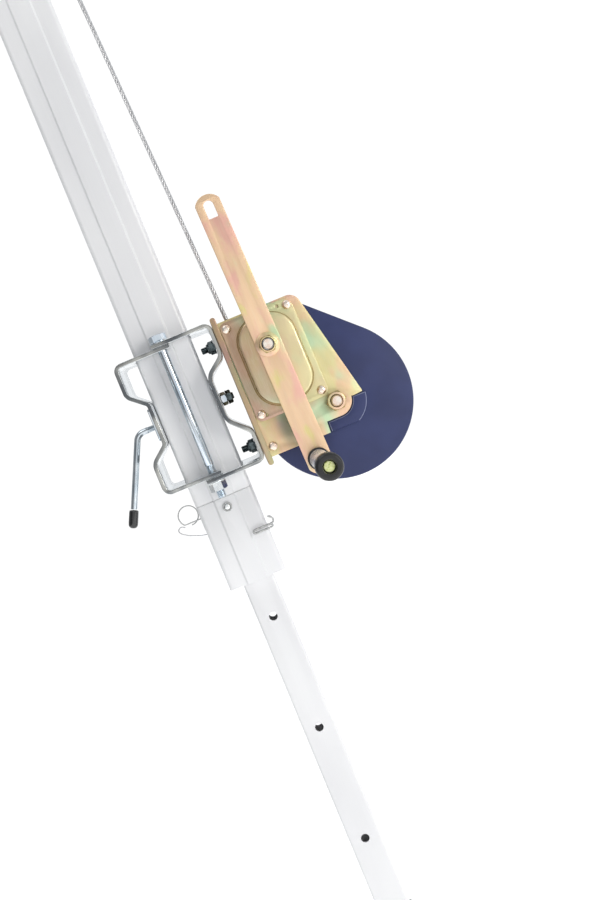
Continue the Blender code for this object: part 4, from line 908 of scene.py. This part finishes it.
class Growth:
    """A Geometry Nodes group with named inputs, run once into a plain mesh."""

    def __init__(self, name, inputs):
        self.tree = bpy.data.node_groups.new(name, "GeometryNodeTree")
        sockets = self.tree.interface
        sockets.new_socket("Geometry", in_out="INPUT", socket_type="NodeSocketGeometry")
        sockets.new_socket("Geometry", in_out="OUTPUT", socket_type="NodeSocketGeometry")
        self.values = {}
        for label, value in inputs.items():
            kind = "NodeSocketInt" if isinstance(value, int) else "NodeSocketFloat"
            self.values[sockets.new_socket(label, in_out="INPUT", socket_type=kind).identifier] = value
        self.given = self.tree.nodes.new("NodeGroupInput").outputs

    def node(self, kind, inputs=None, output=0, **settings):
        """Any node, from its sockets and settings. Gives one output socket."""
        made = self.tree.nodes.new(kind)
        for label, value in settings.items():
            setattr(made, label, value)
        for label, value in (inputs or {}).items():
            if isinstance(value, bpy.types.NodeSocket):
                self.tree.links.new(value, made.inputs[label])
            else:
                made.inputs[label].default_value = value
        return made.outputs[output]

    def math(self, operation, first, second=0.0):
        """A Math node."""
        return self.node("ShaderNodeMath", {0: first, 1: second}, operation=operation)

    def circle(self, resolution, radius):
        """A curve circle."""
        return self.node("GeometryNodeCurvePrimitiveCircle", {"Resolution": resolution, "Radius": radius})

    def grow(self, geometry, look, start=None):
        """The plain mesh that the group makes from a starting mesh."""
        real = self.node("GeometryNodeRealizeInstances", {0: geometry})
        done = self.node("GeometryNodeSetMaterial", {"Geometry": real, "Material": look.material})
        self.tree.links.new(done, self.tree.nodes.new("NodeGroupOutput").inputs[0])
        obj = linked("growth", start or bpy.data.meshes.new("start"))
        modifier = obj.modifiers.new("growth", "NODES")
        modifier.node_group = self.tree
        for identifier, value in self.values.items():
            modifier[identifier] = value
        mesh = evaluated(obj)
        bpy.data.objects.remove(obj, do_unlink=True)
        return mesh


def rivet_row(name, spots, seat):
    """Domed rivets at X and height places, their heads seated at a forward distance."""
    profile = [(0, 0.0025), (0.0022, 0.0024), (0.0034, 0.0020), (0.0043, 0.0012), (0.0048, 0.0004),
               (0.0048, 0), (0.0024, 0), (0.0024, PLATE_BACK - seat), (0, PLATE_BACK - seat)]
    head = linked("head", turned(profile, Matrix.Rotation(math.pi / 2, 4, "X"), 28))
    start = bpy.data.meshes.new("spots")
    start.from_pydata([(x, -seat, CLAMP_Z + z) for x, z in spots], [], [])
    group = Growth(name, {"Head scale": 1.0})
    source = group.node("GeometryNodeObjectInfo", {"Object": head}, 4)
    placed = group.node("GeometryNodeInstanceOnPoints", {
        "Points": group.given["Geometry"], "Instance": source, "Scale": group.given["Head scale"]})
    mesh = group.grow(placed, rivet_metal, start)
    bpy.data.objects.remove(head, do_unlink=True)
    return mesh


rivet_metal = mottled("rivet_metal", (160, 160, 160), (0.90, 0.72, 0.60), (0.93, 0.86, 0.76), (0.24, 0.34),
                      (0.35, 0.65), metallic=0.95)
add_piece("cover_rivets", rivet_row("cover_rivets", RIVETS, COVER_FACE + GAP), rivet_metal, "bracket",
          [f"cover_rivet_{i}" for i in range(1, 5)])
add_piece("lower_rivet", rivet_row("lower_rivet", [LOWER_RIVET], PLATE_FACE + GAP), rivet_metal, "bracket",
          ["plate_rivet"])


# ---------------------------------------------------------------- drum cover
# Moulded shell of dark blue plastic, fine-textured, round the drum and open
# towards the base plate, with a raised pad that follows the axle's boss.

blue = Shader("blue_plastic", specular_ior_level=0.45)
fine = blue.noise((2200, 2200, 2200), 2.0)
cast = blue.noise((26, 26, 26), 2.0)
blue.set("Base Color", blue.mix(cast.ramp(0.3, 0.7) * 0.7 + fine * 0.3,
                                (0.014, 0.022, 0.086), (0.023, 0.034, 0.124)))
blue.set("Roughness", fine.ramp(0.3, 0.7, 0.40, 0.56))
blue.bump(fine, 0.00005)


SHELL_RADIUS, HOLLOW_RADIUS, SLOPE = 0.08244, 0.080, math.radians(46.4)


def tangent_x(radius, height):
    """Where the straight run, a tangent to the round end, reaches a height."""
    return (AXLE[0] * math.cos(SLOPE) + (AXLE[1] - height) * math.sin(SLOPE) + radius) / math.cos(SLOPE)


side_view = arc(AXLE, SHELL_RADIUS, math.radians(201), 2 * math.pi + SLOPE, 80)
side_view += [(tangent_x(SHELL_RADIUS, 0.0680), 0.0680), (0.134, 0.050), (0.118, -0.010), (0.090, -0.058)]
hollow = arc(AXLE, HOLLOW_RADIUS, math.radians(195), 2 * math.pi + SLOPE, 80)
hollow += [(tangent_x(HOLLOW_RADIUS, 0.080), 0.080), (0.060, 0.080), (0.060, -0.040)]
pad = arc(AXLE, 0.0326, math.radians(-5), math.radians(-62), 24)
pad += [(0.1330, AXLE[1] - 0.0288), (0.1330, -0.0640), (0.1500, -0.0640)]
pad += arc(AXLE, 0.0182, math.radians(-80), math.radians(-8), 16)
shell = flat_plate([side_view], -0.0467, 0.0467, 0.0016, facing("front"))
shell = cut(shell, flat_plate([pad], 0.0440, 0.0500, 0.0009, facing("front")), operation="UNION")
shell = cut(shell, flat_plate([hollow], -0.0442, 0.0442, 0.0004, facing("front")),
            bore(0.0070, -0.06, 0.06, facing("front", *AXLE)))
shell = add_piece("blue_shell", shell, blue, "bracket", ["drum_cover"])
# Painted highlight: a lighter lavender blue on the rounded edge of the raised pad.
pad_edge_highlight = Shader("painted_pad_highlight", roughness=0.35)
pad_edge_highlight.set("Base Color", pad_edge_highlight.mix(pad_edge_highlight.noise((300, 300, 300), 2.0),
                                    (0.12, 0.14, 0.26), (0.22, 0.24, 0.36)))
face_look(shell, pad_edge_highlight, lambda face: (
    face.center.y < -0.0490 and 0.15 < abs(face.normal.y) < 0.97 and face.area < 0.00001))


# ---------------------------------------------------------------- drum, gear and wound rope
# Pressed steel drum with a spur gear at its front, and the rope in close turns
# between the flanges. The gear train and the brake keep their CAD solids.

steel = Shader("machined_steel", metallic=1.0)
tool = steel.noise((300, 1800, 300), 2.0)
oil = steel.noise((70, 70, 70), 3.0)
steel.set("Base Color", steel.mix(oil.ramp(0.35, 0.7), (0.46, 0.46, 0.47), (0.33, 0.31, 0.28)))
steel.set("Roughness", tool.ramp(0.3, 0.7, 0.22, 0.38) + oil * 0.08)
lining = Shader("brake_lining")
fibre = lining.noise((1800, 1800, 1800), 3.0)
lining.set("Base Color", lining.mix(fibre, (0.12, 0.07, 0.045), (0.28, 0.18, 0.12)))
lining.set("Roughness", fibre.ramp(0.3, 0.7, 0.8, 0.95))
lining.bump(fibre, 0.0001)
for look, names in (
        (steel, ("drum", "drum_gear", "ratchet_wheel", "pinion", "brake_hub", "pawl", "pawl_pin",
                 "pawl_spring")),
        (lining, ("inner_friction_disc", "outer_friction_disc"))):
    for name in names:
        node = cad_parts[name]
        node.data.materials.clear()
        node.data.materials.append(look.material)

strand = Shader("rope_wire", metallic=0.75)
wires = strand.noise((1600, 1600, 420), 2.0, 0.6)
dirt = strand.noise((90, 90, 90), 2.0)
strand.set("Base Color", strand.mix(wires * 0.4 + dirt * 0.6, (0.50, 0.50, 0.51), (0.84, 0.84, 0.85)))
strand.set("Roughness", wires.ramp(0.3, 0.7, 0.16, 0.28))

turns = Growth("wound_turns", {"Turn count": 17, "Turn pitch": 0.00423, "Rope radius": 0.00205,
                               "Coil radius": 0.06295})
row = turns.node("GeometryNodeMeshLine", {"Count": turns.given["Turn count"], "Offset": turns.node(
    "ShaderNodeCombineXYZ", {"Y": turns.given["Turn pitch"]})})
hoop = turns.circle(72, turns.given["Coil radius"])
section = turns.circle(8, turns.given["Rope radius"])
swept = turns.node("GeometryNodeCurveToMesh", {"Curve": hoop, "Profile Curve": section})
placed = turns.node("GeometryNodeInstanceOnPoints", {"Points": row, "Instance": swept, "Rotation": turns.node(
    "FunctionNodeEulerToRotation", {0: (math.pi / 2, 0, 0)})})
wound = turns.grow(placed, strand)
wound.transform(Matrix.Translation((AXLE[0], -0.0319, CLAMP_Z + AXLE[1])))
core = turned([(0.0629, 0.0338), (0.0629, -0.0376), (0.0383, -0.0376), (0.0383, 0.0338)],
              facing("front", *AXLE), 64)
add_piece("winding", joined(wound, core), strand, "drum", ["rope_winding"])

axle_film, _ = chromate_film("axle_chromate", 0.2, (0.6, 0.9, 0.3))
front_axle, rear_axle = facing("front", *AXLE, 0.0503), facing("back", *AXLE, -0.0503)
COARSE_PITCH, AXLE_FLATS = 0.00175, 0.0190
axle = joined(threaded(0.0059, -0.1020, 0.0, 0.0147, COARSE_PITCH, front_axle),
              hexed(AXLE_FLATS, 0.0, 0.0075, rear_axle))
axle = add_piece("axle", axle, axle_film, "bracket", ["drum_axle"])
face_look(axle, rivet_metal, lambda face: face.center.y < -0.0640 and face.normal.y < -0.9)
axle_nut = joined(hexed(AXLE_FLATS, 0.0004, 0.0105, front_axle, SHAFT_HOLE),
                  washer(0.0094, 0.0064, 0, 0.0010, front_axle))
axle_nut = add_piece("axle_hex_nut", axle_nut, axle_film, "bracket", ["axle_nut"])


# ---------------------------------------------------------------- crank shaft, bar and nut
# A flat steel bar with a slot at its far end, on a threaded shaft and held by a
# flanged nut. Chromated, with the film's colours running along the bar.

BAR_TILT = math.radians(1.1)
shaft_turn = facing("front", *CRANK)
shaft = fillet([(0, -0.0570), (0.0055, -0.0570), (0.0060, -0.0560), (0.0060, 0.0506), (0.0130, 0.0506),
                (0.0130, 0.0526), (0.0060, 0.0526), (0.0060, 0.0790), (0, 0.0790)], 0.0003, 2, False)
shaft = joined(turned(shaft, shaft_turn, 40),
               threaded(0.0060, 0.0780, 0.0785, 0.0930, COARSE_PITCH, shaft_turn))
shaft = add_piece("shaft", shaft, steel, "crank", ["crank_shaft"])
face_look(shaft, rivet_metal, lambda face: face.center.y < -0.0920 and face.normal.y < -0.9)

bar_film = Shader("bar_chromate", metallic=0.60)
wide = bar_film.noise((26, 26, 17), 2.0, 0.5, (0.2, 0.5, 0.9))
small_film = bar_film.noise((75, 75, 30), 3.0, 0.6, (0.2, 0.5, 0.9))
mask = wide * 0.65 + small_film * 0.35
colour = bar_film.mix(mask.ramp(0.38, 0.50), (0.88, 0.50, 0.40), (0.86, 0.60, 0.38))
colour = bar_film.mix(mask.ramp(0.54, 0.64), colour, (0.78, 0.66, 0.28))
colour = bar_film.mix(bar_film.noise((40, 40, 22), 2.0, 0.5, (0.7, 0.1, 0.4)).ramp(0.60, 0.74), colour,
                      (0.54, 0.68, 0.40))
rolled = bar_film.noise((1300, 1300, 60), 3.0, 0.6)
bar_film.set("Base Color", bar_film.mix(rolled.ramp(0.4, 0.8) * 0.2, colour, (0.88, 0.76, 0.62)))
bar_film.set("Roughness", small_film.ramp(0.3, 0.7, 0.30, 0.42))
bar_film.bump(rolled, 0.00002)
SHIFT, GRIP_DROP = 0.0015, 0.1283       # the bar's middle line beside the shaft, and the grip below it
BAR_WIDTH, END_RADIUS, SLOT_HALF = 0.027, 0.0152, 0.0053
corner = math.acos(BAR_WIDTH / 2 / END_RADIUS)
outline = arc((SHIFT, 0.1511), END_RADIUS, corner, math.pi - corner, 24)
outline += arc((SHIFT, -GRIP_DROP), END_RADIUS, math.pi + corner, 2 * math.pi - corner, 24)
slot = arc((SHIFT, 0.1548), SLOT_HALF, 0, math.pi, 14) + fillet(
    [(SHIFT - SLOT_HALF, 0.1540), (SHIFT - SLOT_HALF, 0.1409), (SHIFT + SLOT_HALF, 0.1409),
     (SHIFT + SLOT_HALF, 0.1540)], [0, 0.0010, 0.0010, 0], 3, False)[1:-1]
bar_turn = shaft_turn @ Matrix.Rotation(BAR_TILT, 4, "Z")
bar = flat_plate([outline, slot, circle(SHAFT_HOLE), circle(0.0053, (SHIFT, -GRIP_DROP))],
                 0.073, 0.078, 0.0005, bar_turn)
add_piece("bar", bar, bar_film, "crank", ["crank_bar"])

nut_film, _ = chromate_film("nut_chromate", 0.15, (0.3, 0.3, 0.6))
nut_turn = facing("front", *CRANK, 0.0783)
flange = fillet([(0.0127, 0.0012), (0.0127, 0), (0.0062, 0), (0.0062, 0.0032), (0.0080, 0.0032)], 0.0004, 3)
flange_nut = joined(hexed(0.0165, 0.0020, 0.0115, nut_turn, 0.0062), turned(flange, nut_turn, 56))
flange_nut = add_piece("flange_nut", flange_nut, nut_film, "crank", ["crank_nut"])
# Painted shade: the same darker film on the hex flanks of the axle nut and the crank nut.
face_look(axle_nut, painted_shade, lambda face: face.center.y < -0.052 and abs(face.normal.y) < 0.9)
face_look(flange_nut, painted_shade, lambda face: face.center.y < -0.081 and abs(face.normal.y) < 0.9)


# ---------------------------------------------------------------- grip
# A bright tube turning on a stud between two black plastic flanges. The outer
# flange is recessed round the stud's yellow-green end.

drop = Matrix.Rotation(BAR_TILT, 2) @ Vector((SHIFT, -GRIP_DROP))
grip_turn = facing("front", CRANK[0] + drop.x, CRANK[1] + drop.y)
stud_film = mottled("stud_chromate", (420, 420, 420), (0.62, 0.68, 0.25), (0.80, 0.82, 0.45), (0.25, 0.4),
                    (0.35, 0.65), metallic=0.6)
stud = fillet([(0, 0.2025), (0.0050, 0.2025), (0.0058, 0.2015), (0.0058, 0.2000), (0.0050, 0.2000),
               (0.0050, 0.0727), (0.0080, 0.0727), (0.0070, 0.0702), (0, 0.0702)], 0.0003, 2, False)
add_piece("stud_end", turned(stud, grip_turn, 40), stud_film, "crank", ["grip_stud"])
flange = fillet([(0.0117, 0.0825), (0.0117, 0.0785), (0.0054, 0.0785), (0.0054, 0.0825)],
                [0.0010, 0.0006, 0.0002, 0.0002], 3)
add_piece("grip_base", turned(flange, grip_turn, 56), black, "grip", ["grip_inner_flange"])
tube = fillet([(0.0100, 0.1915), (0.0100, 0.0828), (0.0054, 0.0828), (0.0054, 0.1915)], 0.0004, 2)
tube_look = mottled("bright_tube", (200, 200, 40), (0.76, 0.76, 0.78), (0.86, 0.86, 0.86), (0.16, 0.28),
                    metallic=0.35, specular_ior_level=0.7)
add_piece("grip_tube", turned(tube, grip_turn, 56), tube_look, "grip", ["grip_sleeve"])
knob = fillet([(0.0068, 0.2075), (0.0108, 0.2075), (0.0126, 0.2062), (0.0133, 0.2040), (0.0133, 0.1948),
               (0.0125, 0.1926), (0.0108, 0.1918), (0.0054, 0.1918), (0.0054, 0.1995), (0.0064, 0.1995),
               (0.0064, 0.2055)],
              [0.0006, 0.0012, 0.0010, 0.0010, 0.0010, 0.0008, 0.0004, 0, 0, 0, 0.0004], 3)
add_piece("grip_knob", turned(knob, grip_turn, 64), black, "grip", ["grip_outer_flange"])


# ---------------------------------------------------------------- wire rope
# A taut steel rope of six strands laid to the right, from the drum's leg side up
# towards the head end, where a swaged ferrule holds an eye round a thimble.

LEAN, ROPE_OFFSET, ROPE_TOP = math.radians(2.17), 0.0678, 0.468
along = Vector((-math.sin(LEAN), 0, math.cos(LEAN)))
out = Vector((-math.cos(LEAN), 0, -math.sin(LEAN)))
start = Vector((AXLE[0], 0, CLAMP_Z + AXLE[1])) + out * ROPE_OFFSET
length = (CLAMP_Z + ROPE_TOP - start.z) / along.z
rope_turn = Matrix.Translation(start) @ Matrix.Rotation(-LEAN, 4, "Y")

laid = Growth("laid_strands", {"Strand count": 6, "Strand radius": 0.00076, "Helix radius": 0.00174,
                               "Rope length": length, "Lay length": 0.036, "Points per turn": 12})
given = laid.given
lays = laid.math("DIVIDE", given["Rope length"], given["Lay length"])
line = laid.node("GeometryNodeCurvePrimitiveLine", {"Start": (0, 0, 0), "End": (0, 0, 1)})
line = laid.node("GeometryNodeResampleCurve", {
    "Curve": line, "Count": laid.math("MULTIPLY", lays, given["Points per turn"])})
height = laid.math("MULTIPLY", laid.node("GeometryNodeSplineParameter"), given["Rope length"])
turn = laid.math("MULTIPLY", laid.math("DIVIDE", height, given["Lay length"]), 2 * math.pi)
spot = laid.node("ShaderNodeCombineXYZ", {
    "X": laid.math("MULTIPLY", laid.math("COSINE", turn), given["Helix radius"]),
    "Y": laid.math("MULTIPLY", laid.math("SINE", turn), given["Helix radius"]), "Z": height})
helix = laid.node("GeometryNodeSetPosition", {"Geometry": line, "Position": spot})
ring = laid.circle(7, given["Strand radius"])
one = laid.node("GeometryNodeCurveToMesh", {"Curve": helix, "Profile Curve": ring, "Fill Caps": True})
points = laid.node("GeometryNodePoints", {"Count": given["Strand count"]})
step = laid.math("MULTIPLY", laid.math("DIVIDE", laid.node("GeometryNodeInputIndex"),
                                       given["Strand count"]), 2 * math.pi)
aim = laid.node("FunctionNodeEulerToRotation", {0: laid.node("ShaderNodeCombineXYZ", {"Z": step})})
strands = laid.node("GeometryNodeInstanceOnPoints", {"Points": points, "Instance": one, "Rotation": aim})
strands = laid.grow(strands, strand)
strands.transform(rope_turn)
# Painted shade: the core inside the strands is dark steel, which darkens the gaps between them.
gap_shade_core = turned([(0, length), (0.0013, length), (0.0013, 0), (0, 0)], rope_turn, 10)
for face in gap_shade_core.polygons:
    face.material_index = 1
rope = add_piece("rope", joined(strands, gap_shade_core), strand, "bracket", ["wire_rope"])
rope.data.materials.append(dark_steel.material)

sleeve = fillet([(0, 0.0223), (0.0042, 0.0223), (0.0052, 0.0211), (0.0052, 0.0160), (0.0047, 0.0153),
                 (0.0052, 0.0146), (0.0052, 0.0085), (0.0047, 0.0078), (0.0052, 0.0071), (0.0052, 0.0015),
                 (0.0042, 0.0003), (0, 0.0003)], [0, *[0.0004] * 10, 0], 2, False)
end_turn = Matrix.Translation(start + along * length) @ Matrix.Rotation(-LEAN, 4, "Y")
ferrule = add_piece("ferrule", turned(sleeve, end_turn, 40), zinc, "bracket", ["rope_ferrule"])

SLEEVE_TOP, CHANNEL_REACH, EYE_POINT, EYE_GROWTH = 0.0223, 0.0026, 0.0185, 1.02
middle = SLEEVE_TOP + GAP + CHANNEL_REACH + EYE_POINT
eye = arc((0, middle), 0.0105, math.radians(-28), math.radians(208), 40)
eye += fillet([eye[-1], (0, middle - EYE_POINT), eye[0]], [0, 0.0030, 0], 8, False)[1:-1]
centre = Vector((0, middle))
channel = []
for side, level in (
        (-0.0024, 0.0022), (-0.0024, -0.0022), (-0.0018, -0.0025), (0.0004, -0.0024), (0.0018, -0.0026),
        (0.0020, -0.0021), (0.0002, -0.0018), (0.0002, 0.0018), (0.0020, 0.0021), (0.0018, 0.0026),
        (0.0004, 0.0024), (-0.0018, 0.0025)):
    path = []
    for point in eye:
        away = (Vector(point) - centre).normalized()
        path.append((point[0] + away.x * side, level, point[1] + away.y * side))
    channel.append(path)
thimble = loft(channel, end_turn, loop=True)
eye_rope = wire([end_turn @ Vector((x * EYE_GROWTH, 0, middle + (z - middle) * EYE_GROWTH)) for x, z in eye],
                0.0017, True)
bend = add_piece("thimble", joined(thimble, eye_rope), zinc, "bracket", ["rope_thimble"])
route = [tuple(start + along * (length * i / 16)) for i in range(17)]
